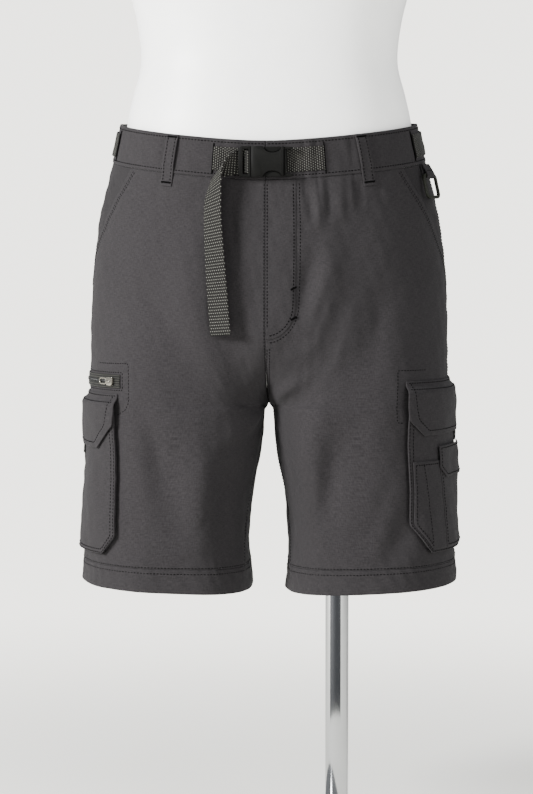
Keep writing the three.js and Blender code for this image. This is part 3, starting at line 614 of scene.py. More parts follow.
def make_wall(name, outer, inner, uv, ring=False, mirrored=False):
    """A closed wall between two grids of points. A ring joins its last column to its first."""
    rows, wide = outer.shape[:2]
    cols = wide if ring else wide - 1
    i, j = np.meshgrid(np.arange(rows - 1), np.arange(cols), indexing="ij")
    top, edge, down = rows - 1, np.arange(cols), np.arange(rows - 1)

    def quads(*corners):
        made = [np.stack(np.broadcast_arrays(*corner), -1) for corner in corners]
        return np.stack(made, -2).reshape(-1, 4, 3)

    faces = [
        quads((0, i, j), (0, i, j + 1), (0, i + 1, j + 1), (0, i + 1, j)),
        quads((1, i, j), (1, i + 1, j), (1, i + 1, j + 1), (1, i, j + 1)),
        quads((0, 0, edge), (1, 0, edge), (1, 0, edge + 1), (0, 0, edge + 1)),
        quads((0, top, edge), (0, top, edge + 1), (1, top, edge + 1), (1, top, edge)),
    ]
    if not ring:
        up = down + 1
        faces.append(quads((0, down, 0), (0, up, 0), (1, up, 0), (1, down, 0)))
        faces.append(quads((0, down, cols), (1, down, cols), (1, up, cols), (0, up, cols)))
    faces = np.concatenate(faces)
    if mirrored:
        faces = faces[:, ::-1]
    corners = faces[..., 0] * rows * wide + faces[..., 1] * wide + faces[..., 2] % wide
    points = np.concatenate([outer.reshape(-1, 3), inner.reshape(-1, 3)])
    return new_mesh(name, points, corners, uv[faces[..., 1], faces[..., 2]])


def new_mesh(name, points, faces, uv=None):
    """A smooth-shaded object from points, faces and the UV of each face's corners."""
    mesh = bpy.data.meshes.new(name)
    mesh.from_pydata(points.tolist(), [], faces.tolist() if hasattr(faces, "tolist") else faces)
    if uv is not None:
        mesh.uv_layers.new(name="UVMap").data.foreach_set("uv", uv.reshape(-1))
    mesh.shade_smooth()
    piece = bpy.data.objects.new(name, mesh)
    bpy.context.collection.objects.link(piece)
    return piece


def cloth_piece(name, side, heights, span, thick, offset=None, ring=False):
    """A piece of cloth on the garment. span(z) gives its two edges in t, and offset(z, t) is
    the middle of its thickness above the middle of the cloth."""
    z = np.asarray(heights, float)[:, None]
    first, last = (np.broadcast_to(edge, z.shape) for edge in span(z))
    width = np.max(np.abs(arc_at(last) - arc_at(first)))
    k = spread(0, width) / width
    full = edge_shares(len(z))[:, None]
    if ring:
        k = np.linspace(0, 1, len(k))
    else:
        full = full * edge_shares(len(k))
    t = mix(first, last, k[None, :])
    uv = uv_grid(arc_at(t), z)
    if ring:
        t = t[:, :-1]
    off = offset(z, t) if offset else 0
    outer = place(side, t, z, off + thick / 2 * full)
    inner = place(side, t, z, off - thick / 2 * full)
    return make_wall(name, outer, inner, uv, ring, side < 0)


def finish_piece(piece, material, more=(), body=BODY):
    """Gives a piece its finish and lets it stand for the CAD node in its name. A piece's name
    is its node's name and one more word."""
    piece.data.materials.clear()
    piece.data.materials.append(material)
    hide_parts(piece.name.rsplit("_", 1)[0])
    for part in (piece, *more):
        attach(part, body)


# Stitches

# Corners of one stitch: share of its length, and shares of its thickness across and up
STITCH_SHAPE = np.array([
    (0, 0, -0.3),
    (0.2, -0.5, 0), (0.2, 0, 0.5), (0.2, 0.5, 0), (0.2, 0, -0.5),
    (0.8, -0.5, 0), (0.8, 0, 0.5), (0.8, 0.5, 0), (0.8, 0, -0.5),
    (1, 0, -0.3),
])
STITCH_ENDS = [(0, 1 + k, 1 + (k + 1) % 4) for k in range(4)]
STITCH_ENDS += [(9, 5 + (k + 1) % 4, 5 + k) for k in range(4)]
STITCH_SIDES = [(1 + k, 5 + k, 5 + (k + 1) % 4, 1 + (k + 1) % 4) for k in range(4)]


TRACE_STEP = 1.5
TACK_PITCH = 0.45
TACK_WIDE = 2.2


def run_along(points):
    """Distance along a line at each of its points."""
    steps = np.linalg.norm(np.diff(points, axis=0), axis=1)
    return np.concatenate([[0], np.cumsum(steps)])


def at_run(at, run, values):
    """The values of a line's points, taken at other distances along it."""
    return np.stack([np.interp(at, run, column) for column in values.T], -1)


def trace(side, corners, off):
    """Points and normals along straight lines between (t, z) corners on the cloth."""
    corners = np.asarray(corners, float)
    run = run_along(corners * (FRONT_ARC, 1))
    at = np.linspace(0, run[-1], max(3, int(run[-1] / TRACE_STEP)))
    t, z = at_run(at, run, corners).T
    return place(side, t, z, off(z, t) if callable(off) else off), normals(side, t, z)


def beads(name, starts, ends, ups, thick, material=None):
    """One object of small rounded bars from starts to ends, of thread if nothing else is said."""
    along = ends - starts
    across = np.cross(ups, along)
    across /= np.linalg.norm(across, axis=1, keepdims=True)
    a, b, c = (STITCH_SHAPE[None, :, k, None] for k in range(3))
    points = starts[:, None] + a * along[:, None] + thick * (b * across[:, None] + c * ups[:, None])
    faces = []
    for first in range(0, len(starts) * len(STITCH_SHAPE), len(STITCH_SHAPE)):
        faces += [[first + corner for corner in face] for face in STITCH_ENDS + STITCH_SIDES]
    piece = new_mesh(name, points.reshape(-1, 3), faces)
    piece.data.materials.append(material or thread_material())
    return piece


def stitch_rows(name, traces):
    """One object of stitches along all the traces."""
    trim = bpy.context.scene.shorts_trim
    pitch = trim.stitch + trim.stitch_gap
    rows = []
    for points, up in traces:
        run = run_along(points)
        count = int(run[-1] / pitch)
        at = (run[-1] - count * pitch) / 2 + pitch * np.arange(count)
        rows.append((at_run(at, run, points), at_run(at + trim.stitch, run, points),
                     at_run(at + pitch / 2, run, up)))
    return beads(name, *map(np.concatenate, zip(*rows)), trim.stitch_thick)


def bartack(side, corners, off, wide=TACK_WIDE):
    """Starts, ends and normals of a dense zigzag of thread along a short line."""
    points, up = trace(side, corners, off)
    run = run_along(points)
    at = np.arange(0, run[-1], TACK_PITCH * MM)
    middle, ups = at_run(at, run, points), at_run(at, run, up)
    way = points[-1] - points[0]
    across = np.cross(ups, way)
    across *= wide / 2 * MM / np.linalg.norm(across, axis=1, keepdims=True)
    return middle - across, middle + across + way / run[-1] * TACK_PITCH * MM, ups


def bartacks(name, tacks):
    """One object of several dense bars of thread."""
    thick = bpy.context.scene.shorts_trim.stitch_thick
    return beads(name, *map(np.concatenate, zip(*tacks)), thick)


# Materials

def start_material(name, **finish):
    """A new material with these inputs of its shader, its node tree and the shader."""
    material = bpy.data.materials.new(name)
    material.use_nodes = True
    tree = material.node_tree
    shader = tree.nodes["Principled BSDF"]
    for socket, value in finish.items():
        shader.inputs[socket.replace("_", " ")].default_value = value
    return material, tree, shader


def add_node(tree, kind, inputs=None, **settings):
    """A node with its settings, and its inputs linked or set."""
    made = tree.nodes.new("ShaderNode" + kind)
    for name, value in settings.items():
        setattr(made, name, value)
    for socket, value in (inputs or {}).items():
        if isinstance(value, bpy.types.NodeSocket):
            tree.links.new(value, made.inputs[socket])
        else:
            made.inputs[socket].default_value = value
    return made


def maths(tree, operation, first, second=0.0):
    return add_node(tree, "Math", {0: first, 1: second}, operation=operation).outputs[0]


def noise(tree, vector, scale, detail=2.0, stretch=(1, 1, 1)):
    """A noise pattern with that many spots a metre, stretched along the axes."""
    mapped = add_node(tree, "Mapping", {"Vector": vector, "Scale": stretch}).outputs[0]
    made = add_node(tree, "TexNoise", {"Vector": mapped, "Scale": scale, "Detail": detail})
    return made.outputs["Fac"]


def between(tree, share, low, high, from_low=0.35, from_high=0.65):
    """A colour from low to high as share goes between two values."""
    ranged = add_node(tree, "MapRange", {
        "Value": share, "From Min": from_low, "From Max": from_high}).outputs[0]
    mixed = add_node(tree, "Mix", data_type="RGBA")
    tree.links.new(ranged, mixed.inputs["Factor"])
    for socket, value in ((6, low), (7, high)):
        if isinstance(value, bpy.types.NodeSocket):
            tree.links.new(value, mixed.inputs[socket])
        else:
            mixed.inputs[socket].default_value = (*value, 1)
    return mixed.outputs[2]


def bump(tree, height, distance, strength=1.0, normal=None):
    inputs = {"Height": height, "Distance": distance, "Strength": strength}
    if normal:
        inputs["Normal"] = normal
    return add_node(tree, "Bump", inputs).outputs[0]


def uv_parts(tree):
    """The piece's own UV in metres, as a vector and as its two parts."""
    vector = add_node(tree, "UVMap", uv_map="UVMap").outputs[0]
    parts = add_node(tree, "SeparateXYZ", {0: vector})
    return vector, parts.outputs[0], parts.outputs[1]


def ripple(tree, value, pitch):
    """A sine along value, one wave for each pitch."""
    return maths(tree, "SINE", maths(tree, "MULTIPLY", value, 2 * math.pi / pitch))


# Spots in a metre of the cloth's slubs, weft threads, faint patches and crumples
SLUBS, WEFT, CLOUDS, CRUMPLES = 620, 560, 16, 95


def cloth_material(name="shorts_cloth", painted_shade_factor=1.0):
    """Plain-woven cloth: crossed threads, slubs, faint patches and a soft crumpled surface. Both
    tones are darkened by the given factor, which paints shade on a copy of the cloth that lies back
    in a recess.
    """
    if name in bpy.data.materials:
        return bpy.data.materials[name]
    cloth = bpy.context.scene.shorts_cloth
    material, tree, shader = start_material(
        name, Roughness=0.85, Sheen_Weight=0.03, Sheen_Roughness=0.5, Specular_IOR_Level=0.12)
    vector, u, v = uv_parts(tree)
    weave = maths(tree, "MULTIPLY", ripple(tree, u, 2 * cloth.thread_pitch),
                  ripple(tree, v, 2 * cloth.thread_pitch))
    slubs = noise(tree, vector, SLUBS, 2, (2.2, 0.4, 1))
    weft = noise(tree, vector, WEFT, 2, (0.35, 2.2, 1))
    cloud = noise(tree, vector, CLOUDS, 2)
    crumple = noise(tree, vector, CRUMPLES, 4, (1, 0.8, 1))
    # Both tones are darkened alike: painted shade for a darker copy of the cloth.
    low = tuple(part * painted_shade_factor for part in cloth.shade)
    high = tuple(part * painted_shade_factor for part in cloth.colour)
    threads = maths(tree, "MULTIPLY", maths(tree, "ADD", slubs, weft), 0.5)
    woven = between(tree, threads, low, high, 0.36, 0.62)
    pale = between(tree, maths(tree, "ADD", threads, maths(tree, "MULTIPLY", weave, 0.05)),
                   low, tuple(min(1, part * 1.12) for part in high), 0.34, 0.66)
    tree.links.new(between(tree, cloud, woven, pale, 0.3, 0.75), shader.inputs["Base Color"])
    soft = bump(tree, crumple, 0.0008, 0.2)
    slubbed = bump(tree, threads, 0.0002, 0.4, soft)
    tree.links.new(bump(tree, weave, 0.00008, 0.6, slubbed), shader.inputs["Normal"])
    return material


def thread_material():
    """Matt twisted sewing thread, near black: partly the thread's own dark colour, partly painted
    shade of the needle holes and stitch grooves.
    """
    name = "shorts_thread"
    if name in bpy.data.materials:
        return bpy.data.materials[name]
    thread = tuple(bpy.context.scene.shorts_trim.thread)
    material, tree, shader = start_material(name, Roughness=0.85, Specular_IOR_Level=0.03)
    vector = add_node(tree, "TexCoord").outputs["Object"]
    twist = noise(tree, vector, 2600, 1)
    dark = tuple(part * 0.7 for part in thread)
    tree.links.new(between(tree, twist, dark, thread), shader.inputs["Base Color"])
    tree.links.new(bump(tree, twist, 0.0001, 0.5), shader.inputs["Normal"])
    return material


def webbing_material(name="shorts_webbing", ribbed=True):
    """Belt webbing: dark ground with rows of pale picks across it."""
    if name in bpy.data.materials:
        return bpy.data.materials[name]
    trim = bpy.context.scene.shorts_trim
    material, tree, shader = start_material(
        name, Roughness=0.75, Sheen_Weight=0.02, Specular_IOR_Level=0.15)
    vector, u, v = uv_parts(tree)
    rib = ripple(tree, u, trim.rib_pitch)
    picks = ripple(tree, maths(tree, "ADD", v, maths(tree, "MULTIPLY", u, 0.42)), 0.0026)
    grain = noise(tree, vector, 900, 2)
    ground = tuple(trim.webbing)
    woven = between(tree, grain, tuple(part * 0.6 for part in ground), ground)
    dotted = maths(tree, "MULTIPLY", maths(tree, "MAXIMUM", rib, 0.0),
                   maths(tree, "MAXIMUM", maths(tree, "ADD", picks, 0.3), 0.0))
    pale = tuple(trim.ribs) if ribbed else tuple(part * 1.3 for part in ground)
    tree.links.new(between(tree, dotted, woven, pale, 0.35, 0.9), shader.inputs["Base Color"])
    height = maths(tree, "ADD", rib, maths(tree, "MULTIPLY", picks, 0.4))
    tree.links.new(bump(tree, height, 0.0003, 0.9), shader.inputs["Normal"])
    return material


def tape_material():
    """Black zip tape, ribbed along its length."""
    name = "shorts_zip_tape"
    if name in bpy.data.materials:
        return bpy.data.materials[name]
    material, tree, shader = start_material(
        name, Roughness=0.7, Sheen_Weight=0.02, Specular_IOR_Level=0.2)
    vector, u, v = uv_parts(tree)
    ribs = ripple(tree, v, 0.0024)
    picks = ripple(tree, u, 0.0011)
    grain = noise(tree, vector, 1200, 2)
    black = photo_colour(9, 9, 8)
    grey = photo_colour(46, 45, 40)
    raised = maths(tree, "ADD", maths(tree, "MULTIPLY", ribs, 0.7),
                   maths(tree, "MULTIPLY", grain, 0.6))
    tree.links.new(between(tree, raised, black, grey, 0.3, 1.2), shader.inputs["Base Color"])
    height = maths(tree, "ADD", ribs, maths(tree, "MULTIPLY", picks, 0.3))
    tree.links.new(bump(tree, height, 0.0003, 0.9), shader.inputs["Normal"])
    return material


def hard_material(name, colour, roughness, metal=0.0, grain=2200, depth=0.00004, worn=1.25,
                  shine=0.5):
    """A moulded or metal surface with a fine grain, faint wear and uneven gloss."""
    if name in bpy.data.materials:
        return bpy.data.materials[name]
    material, tree, shader = start_material(name, Metallic=metal, Specular_IOR_Level=shine)
    vector = add_node(tree, "TexCoord").outputs["Object"]
    fine = noise(tree, vector, grain, 2)
    broad = noise(tree, vector, 60, 4)
    pale = tuple(min(1, part * worn) for part in colour)
    tree.links.new(between(tree, broad, colour, pale), shader.inputs["Base Color"])
    gloss = add_node(tree, "MapRange", {
        "Value": broad, "To Min": roughness * 0.8, "To Max": roughness * 1.25}).outputs[0]
    tree.links.new(gloss, shader.inputs["Roughness"])
    tree.links.new(bump(tree, fine, depth, 0.5), shader.inputs["Normal"])
    return material


# Hard pieces, modelled as by hand

def select_only(piece):
    bpy.ops.object.select_all(action="DESELECT")
    piece.select_set(True)
    bpy.context.view_layer.objects.active = piece


def block(name, low, high):
    """A cube between two corners in millimetres, its place in its mesh."""
    bpy.ops.object.select_all(action="DESELECT")
    middle = [(a + b) / 2 * MM for a, b in zip(low, high)]
    bpy.ops.mesh.primitive_cube_add(size=1, location=middle)
    piece = bpy.context.object
    piece.name = name
    piece.scale = [(b - a) * MM for a, b in zip(low, high)]
    bpy.ops.object.transform_apply(location=True, rotation=True, scale=True)
    return piece


def rod(name, radius, low, high, at, sides=96):
    """An upright cylinder between two heights in millimetres."""
    bpy.ops.object.select_all(action="DESELECT")
    bpy.ops.mesh.primitive_cylinder_add(
        vertices=sides, radius=radius * MM, depth=(high - low) * MM,
        location=(at[0] * MM, at[1] * MM, (low + high) / 2 * MM))
    piece = bpy.context.object
    piece.name = name
    bpy.ops.object.transform_apply(location=True, rotation=True, scale=True)
    return piece


def pick(piece, kind, wanted):
    """Enters edit mode with only the wanted edges or faces selected."""
    select_only(piece)
    bpy.ops.object.mode_set(mode="EDIT")
    bpy.ops.mesh.select_mode(type=kind)
    bpy.ops.mesh.select_all(action="DESELECT")
    shape = bmesh.from_edit_mesh(piece.data)
    for part in shape.edges if kind == "EDGE" else shape.faces:
        part.select_set(wanted(part))
    bmesh.update_edit_mesh(piece.data)


def round_corners(piece, radius, keep=None):
    """Rounds the edges that run along Y, all or only those that keep accepts."""
    def wanted(edge):
        start, end = (vert.co for vert in edge.verts)
        along_y = abs((end - start).normalized().y) > 0.99
        return along_y and (keep is None or keep((start + end) / 2 / MM))

    pick(piece, "EDGE", wanted)
    bpy.ops.mesh.bevel(offset=radius * MM, segments=6)
    bpy.ops.object.mode_set(mode="OBJECT")


def cut_out(piece, cutter):
    """Takes a cutter out of a piece and deletes the cutter."""
    select_only(piece)
    modifier = piece.modifiers.new("cut", "BOOLEAN")
    modifier.operation = "DIFFERENCE"
    modifier.solver = "EXACT"
    modifier.object = cutter
    bpy.ops.object.modifier_apply(modifier=modifier.name)
    bpy.data.objects.remove(cutter, do_unlink=True)


def soften(piece, width, segments=3, angle=35):
    """Rounds every sharp edge a little and shades the piece smooth."""
    select_only(piece)
    modifier = piece.modifiers.new("soften", "BEVEL")
    modifier.width = width * MM
    modifier.segments = segments
    modifier.limit_method = "ANGLE"
    modifier.angle_limit = math.radians(angle)
    bpy.ops.object.modifier_apply(modifier=modifier.name)
    bpy.ops.object.shade_smooth_by_angle(angle=math.radians(angle))


def join(first, *others):
    """Joins pieces into the first."""
    select_only(first)
    for other in others:
        other.select_set(True)
    bpy.ops.object.join()


def raise_front(piece, inset, move):
    """Insets the face that looks to the front and moves it outwards."""
    pick(piece, "FACE", lambda face: face.normal.y < -0.99)
    bpy.ops.mesh.inset(thickness=inset * MM)
    bpy.ops.transform.translate(value=(0, -move * MM, 0))
    bpy.ops.object.mode_set(mode="OBJECT")


# Pieces of the garment

def make_panels():
    """The two fronts and the two backs."""
    grid = grid_mm()
    near, far = CLOSE_LINES
    low, high = HEM_HEIGHT + BUTTED / 2, BAND_BOTTOM - BUTTED / 2
    lower = np.arange(CROTCH - grid, HEM_HEIGHT + 3, -grid)[::-1]
    panels = (("front", FRONT_RISE, lambda z: (SEAM_T, mouth_t(z) - SEAM_T)),
              ("back", BACK_RISE, lambda z: (0.5 + SEAM_T, 1 - SEAM_T)))
    for word, side in SIDES:
        for panel, rise, span in panels:
            turn = rise - (rise - CROTCH) * np.sin(np.linspace(math.pi / 2, 0, 34))
            upper = np.arange(rise + grid, BAND_BOTTOM - 2, grid)
            heights = np.concatenate([
                [low, low + near, low + far], lower, turn, upper, [high - far, high - near, high]])
            piece = cloth_piece(f"{panel}_{word}_cloth", side, heights, span, CLOTH)
            rows = front_rows(word, side) if panel == "front" else back_rows(side)
            sewn = stitch_rows(f"{panel}_{word}_stitching", rows)
            finish_piece(piece, cloth_material(),
                         [sewn])


def front_rows(word, side):
    """Stitches on a front: pocket mouth, pocket bag, hem, rise, inseam and round the fly."""
    lines = []
    for inside in MOUTH_ROWS:
        share = inside / FRONT_ARC
        lines.append([(0.5 - share, MOUTH_LOW + 4), (0.5 - share, MOUTH_LOW),
                      (MOUTH_T - share, BAND_BOTTOM - 2)])
    lines.append([(t_at_x(x, z), z) for x, z in BAG_STITCHES[word]])
    lines.append([(0.004, UPPER_HEM_ROW), (0.496, UPPER_HEM_ROW)])
    rise_rows, rise_top = (RISE_ROWS, 262) if side > 0 else (RISE_ROWS[:1], BAND_BOTTOM - 3)
    uprights = [(inside, CROTCH + 2, rise_top) for inside in rise_rows]
    uprights.append((INSEAM_ROW, HEM_HEIGHT + 3, CROTCH - 4))
    lines += [[(inside / FRONT_ARC, z) for z in ends] for inside, *ends in uprights]
    rows = [trace(side, line, FACE) for line in lines]
    if side > 0:
        rows.append(fly_row(FLY_OUTER_ROW, FACE))
    return rows


def back_rows(side):
    """Stitches on a back: side seam, seat seam and the upper hem row."""
    lines = []
    for inside in SEAM_ROWS:
        share = inside / BACK_ARC
        for t, low in ((0.5 + share, HEM_HEIGHT + 2), (1 - share, CROTCH + 2)):
            lines.append([(t, low), (t, BAND_BOTTOM - 2)])
    lines.append([(0.504, UPPER_HEM_ROW), (0.996, UPPER_HEM_ROW)])
    return [trace(side, line, FACE) for line in lines]


def make_facings():
    """The cloth behind the slanted pocket mouths."""
    def offset(z, t):
        return -(CLOTH + 3 * SEAM) * (1 - smooth((t - mouth_t(z) - MOUTH_LAP / 2) / 0.045))

    for word, side in SIDES:
        piece = cloth_piece(
            f"pocket_facing_{word}_cloth", side, spread(MOUTH_LOW + 4, BAND_BOTTOM - BUTTED / 2),
            lambda z: (mouth_t(z) - MOUTH_LAP, 0.5 - SEAM_T), CLOTH, offset)
        # The facings take a darker copy of the cloth: painted shade behind the pocket mouths.
        finish_piece(piece, cloth_material("shorts_facing", 0.85))


def make_hems():
    """The turned-up hems, with their lower row of stitches and a pressed crease."""
    def offset(z, t):
        return (CLOTH - HEM_THICK) / 2 - 0.5 * np.exp(-((z - 15) / 1.6) ** 2)

    for word, side in SIDES:
        piece = cloth_piece(f"hem_{word}_cloth", side, spread(0, HEM_HEIGHT - BUTTED / 2),
                            lambda z: (0, 1), HEM_THICK, offset, ring=True)
        row = trace(side, [(0.002, LOWER_HEM_ROW), (0.998, LOWER_HEM_ROW)], FACE)
        finish_piece(piece, cloth_material(),
                     [stitch_rows(f"hem_{word}_stitching", [row])])


def make_waistband():
    """The waistband's two front halves and its back."""
    heights = spread(BAND_BOTTOM + BUTTED / 2, BAND_TOP)
    parts = (("right", -1, SEAM_T, 0.5 - SEAM_T), ("left", 1, SEAM_T, 0.5 - SEAM_T),
             ("back", 0, 0.5 + SEAM_T, 1.5 - SEAM_T))
    for word, side, first, last in parts:
        piece = cloth_piece(f"waistband_{word}_cloth", side, heights, lambda z: (first, last),
                            BAND_THICK)
        rows = [trace(side, [(first + 0.003, z), (last - 0.003, z)], BAND_THICK / 2 + PROUD)
                for z in (BAND_BOTTOM + BAND_ROW, BAND_TOP - BAND_ROW)]
        sewn = stitch_rows(f"waistband_{word}_stitching", rows)
        finish_piece(piece, cloth_material(),
                     [sewn])


def fly_reach(z):
    """x of the fly's edge at height z."""
    drop = clamp01((FLY_TURN_HIGH - z) / FLY_TURN_DEEP)
    return FLY_WIDE * np.sqrt(1 - drop ** 2)


def fly_row(wide, off):
    """A row of stitches down the fly and round its curved lower end."""
    turn = np.linspace(math.radians(84), 0, 12)
    deep = FLY_TURN_DEEP * wide / FLY_WIDE
    heights = np.append(FLY_TURN_HIGH - deep * np.sin(turn), BAND_BOTTOM - 3)
    across = np.append(wide * np.cos(turn), wide)
    return trace(1, np.stack([t_at_x(across, heights), heights], -1), off)


def make_fly():
    """The fly's outer layer, with its curved double row of stitches and its tacks."""
    grid = grid_mm()
    turn = FLY_TURN_HIGH - FLY_TURN_DEEP * np.sin(np.linspace(math.radians(84), 0, 16))
    upper = np.arange(FLY_TURN_HIGH + grid, BAND_BOTTOM - 2, grid)
    heights = np.concatenate([turn, upper, [BAND_BOTTOM - 1, BAND_BOTTOM - SEAM / 2]])
    piece = cloth_piece("fly_cloth", 1, heights, lambda z: (SEAM_T, t_at_x(fly_reach(z), z)),
                        FLY_THICK, lambda z, t: FLY_OFFSET)
    off = FLY_OFFSET + FLY_THICK / 2 + PROUD
    edge = trace(1, [(2 / FRONT_ARC, 282), (2 / FRONT_ARC, BAND_BOTTOM - 3)], off)
    sewn = stitch_rows("fly_stitching", [edge, fly_row(FLY_INNER_ROW, off)])
    tacks = bartacks("fly_bartacks", [
        bartack(1, [(t_at_x(26, z), z), (t_at_x(31.5, z + 3), z + 3)], off + 0.2)
        for z in FLY_TACKS])
    finish_piece(piece, cloth_material(), [sewn, tacks])


def make_belt_loops():
    """The five belt loops, each tacked at both ends."""
    on_cloth, on_band = (under / 2 + SEAM + OVERLAY / 2 for under in (CLOTH, BAND_THICK))
    heights = spread(LOOP_BOTTOM, BAND_TOP - 0.5)
    row_z = np.linspace(LOOP_BOTTOM + 1, BAND_TOP - 2, 14)

    for name, (side, back, top, low, bulge) in LOOPS.items():
        def stand(z, t):
            rest = mix(on_cloth, on_band, smooth((z - 447) / 6.5))
            return rest + bulge * smooth((z - 456) / 6) * smooth((493 - z) / 6)

        def edges(z, inset=0.0):
            if side == 0:
                away = 1 - t_at_x(LOOP_WIDE / 2 - inset, np.full(np.shape(z), BELT_Z), True)
                return 1 - away, 1 + away
            middle = mix(low, top, (z - LOOP_BOTTOM) / (BAND_TOP - LOOP_BOTTOM))
            reach = LOOP_WIDE / 2 * LOOP_SLANT - inset
            both = t_at_x(middle - reach, z, back), t_at_x(middle + reach, z, back)
            return both[::-1] if back else both

        def raised(z, t):
            return stand(z, t) + OVERLAY / 2 + PROUD

        piece = cloth_piece(f"{name}_cloth", side, heights, edges, OVERLAY, stand)
        sewn = stitch_rows(f"{name}_stitching", [
            trace(side, [(edges(z, 2.2)[k], z) for z in row_z], raised) for k in (0, 1)])
        tacks = bartacks(f"{name}_bartacks", [
            bartack(side, [(edge, z) for edge in edges(z, 1)], raised)
            for z in (LOOP_BOTTOM + 4, BAND_TOP - 3.2)])
        finish_piece(piece, cloth_material(),
                     [sewn, tacks])


def pocket_edges(p, z):
    """A pocket's edges at height z, as cloth distances from the side seam."""
    down = (p["top"] - z) / (p["top"] - p["bottom"])
    cut = p["across"] * clamp01(1 - (z - p["bottom"]) / p["up"])
    return (-(mix(p["front_top"], p["front_low"], down) - cut),
            mix(p["back_top"], p["back_low"], down) - cut)


POCKET_BASE = CLOTH / 2 + SEAM
POCKET_FACE = POCKET_BASE + POCKET_DEPTH

# A pocket's gusset: distance in from its edge, and share of its height
GUSSET = ((2.6, 0), (3, 0.2), (3.1, 0.45), (2.2, 0.62), (0.4, 0.72), (-0.1, 0.82), (0.1, 0.93),
          (0.7, 1), (1.6, 1.02))


def puff(p, along, z):
    """Soft hollows and swells on a pocket's face."""
    edge_front, edge_back = pocket_edges(p, z)
    across = clamp01((along - edge_front) / (edge_back - edge_front))
    up = clamp01((z - p["bottom"]) / (p["top"] - p["bottom"]))
    swell = np.sin(math.pi * across) ** 0.6 * np.sin(math.pi * up) ** 0.7
    return 2 * swell * (0.15 + 0.6 * waves(along * 1.3, z * 0.7, 74, p["side"] + 3.0))


def make_cargo_pocket(word):
    """A bellows pocket with a recessed gusset, open at the top under its flap."""
    p = POCKETS[word]
    grid = grid_mm()
    leans, shares = np.transpose(GUSSET)
    cols = int((p["front_top"] + p["back_top"]) / grid)
    body_rows = np.concatenate([np.arange(p["bottom"] + 2.4, p["top"] - 1.5, grid),
                                p["top"] - np.array((1.1, 0.4, 0))])
    row_share = np.concatenate([shares, np.ones(len(body_rows))])[:, None]
    lean = np.concatenate([leans, np.full(cols, leans[-1]), leans[::-1]])
    share = np.minimum(row_share, np.concatenate([shares, np.ones(cols), shares[::-1]]))
    step = np.concatenate([np.zeros(len(leans)), (np.arange(cols) + 1) / (cols + 1),
                           np.ones(len(leans))])

    def layer(inset, height):
        rows = np.concatenate([p["bottom"] + inset + leans, body_rows])[:, None]
        front, back = pocket_edges(p, np.maximum(rows, p["bottom"]))
        along = mix(front + inset + lean, back - inset - lean, step)
        return along, rows, POCKET_BASE + share * height + share ** 4 * puff(p, along, rows)

    along, rows, standing = layer(0, POCKET_DEPTH)
    t = t_from_side(along)
    outer = place(p["side"], t, rows, standing)
    along_in, rows_in, standing_in = layer(CLOTH, POCKET_DEPTH - CLOTH)
    thin = np.ones(rows.shape)
    thin[-2:, 0] = EDGE_THICK[::-1]
    standing_in = mix(standing - 0.3, standing_in, smooth((thin - 0.3) / 0.7))
    inner = place(p["side"], t_from_side(along_in), rows_in, standing_in)
    piece = make_wall(f"cargo_{word}_pocket_cloth", outer, inner, uv_grid(arc_at(t), rows),
                      mirrored=p["side"] < 0)

    lines = []
    for inset in POCKET_ROWS:
        heights = [p["top"] - 2, p["bottom"] + p["up"], p["bottom"] + inset]
        lines.append([(pocket_edges(p, z)[0] + inset, z) for z in heights]
                     + [(pocket_edges(p, z)[1] - inset, z) for z in heights[::-1]])
    sewn = stitch_rows(f"cargo_{word}_pocket_stitching", [pocket_trace(p, line) for line in lines])
    finish_piece(piece, cloth_material(),
                 [sewn])


def pocket_trace(p, line, off=POCKET_FACE + PROUD):
    """Points and normals between corners on a pocket's face."""
    return trace(p["side"], [(t_from_side(along), z) for along, z in line],
                 lambda z, t: off + puff(p, from_side(t), z))


def make_flap(word):
    """A pocket flap that climbs from the leg onto its pocket."""
    flap, p = FLAPS[word], POCKETS[word]
    low = CLOTH / 2 + SEAM + CLOTH / 2
    high = POCKET_FACE + 3 * SEAM + CLOTH / 2
    fold = flap["top"] - FLAP_TURN

    def offset(z, t):
        along = from_side(t)
        near_end = np.exp(-((along + flap["front"]) / 26) ** 2)
        curl = FLAP_CURL * near_end * clamp01((fold - z) / (fold - flap["bottom"]))
        on_pocket = high + puff(p, along, np.minimum(z, p["top"])) + curl
        return mix(on_pocket, low, smooth((z - fold) / (FLAP_TURN - 3)))

    def edges(z, inset=0.0):
        cut = flap["across"] * clamp01(1 - (z - flap["bottom"] - inset) / flap["up"])
        return t_from_side(cut + inset - flap["front"]), t_from_side(flap["back"] - cut - inset)

    piece = cloth_piece(f"cargo_{word}_flap_cloth", flap["side"],
                        spread(flap["bottom"], flap["top"]), edges, CLOTH, offset)
    line_z = [flap["top"] - 2, flap["bottom"] + flap["up"], flap["bottom"] + FLAP_ROW]
    lines = [[(edges(z, FLAP_ROW)[0], z) for z in line_z]
             + [(edges(z, FLAP_ROW)[1], z) for z in line_z[::-1]]]
    lines += [[(edge, z) for edge in edges(z, 2)] for z in (flap["top"] - 2, flap["top"] - 8.5)]
    sewn = stitch_rows(f"cargo_{word}_flap_stitching", [
        trace(flap["side"], line, lambda z, t: offset(z, t) + CLOTH / 2 + PROUD) for line in lines])
    finish_piece(piece, cloth_material(),
                 [sewn])


def on_pocket(name, p, low, high, edges, cut, more=(), stand=0.0, thick=OVERLAY, slot="cloth",
              material=None):
    """A flat piece on a pocket's face, between two distances from the side seam."""
    piece = cloth_piece(
        name, p["side"], spread(low, high), lambda z: tuple(map(t_from_side, edges(z))), thick,
        lambda z, t: POCKET_FACE + 2 * SEAM + thick / 2 + stand + puff(p, from_side(t), z))
    finish_piece(piece, material or cloth_material(),
                 more)


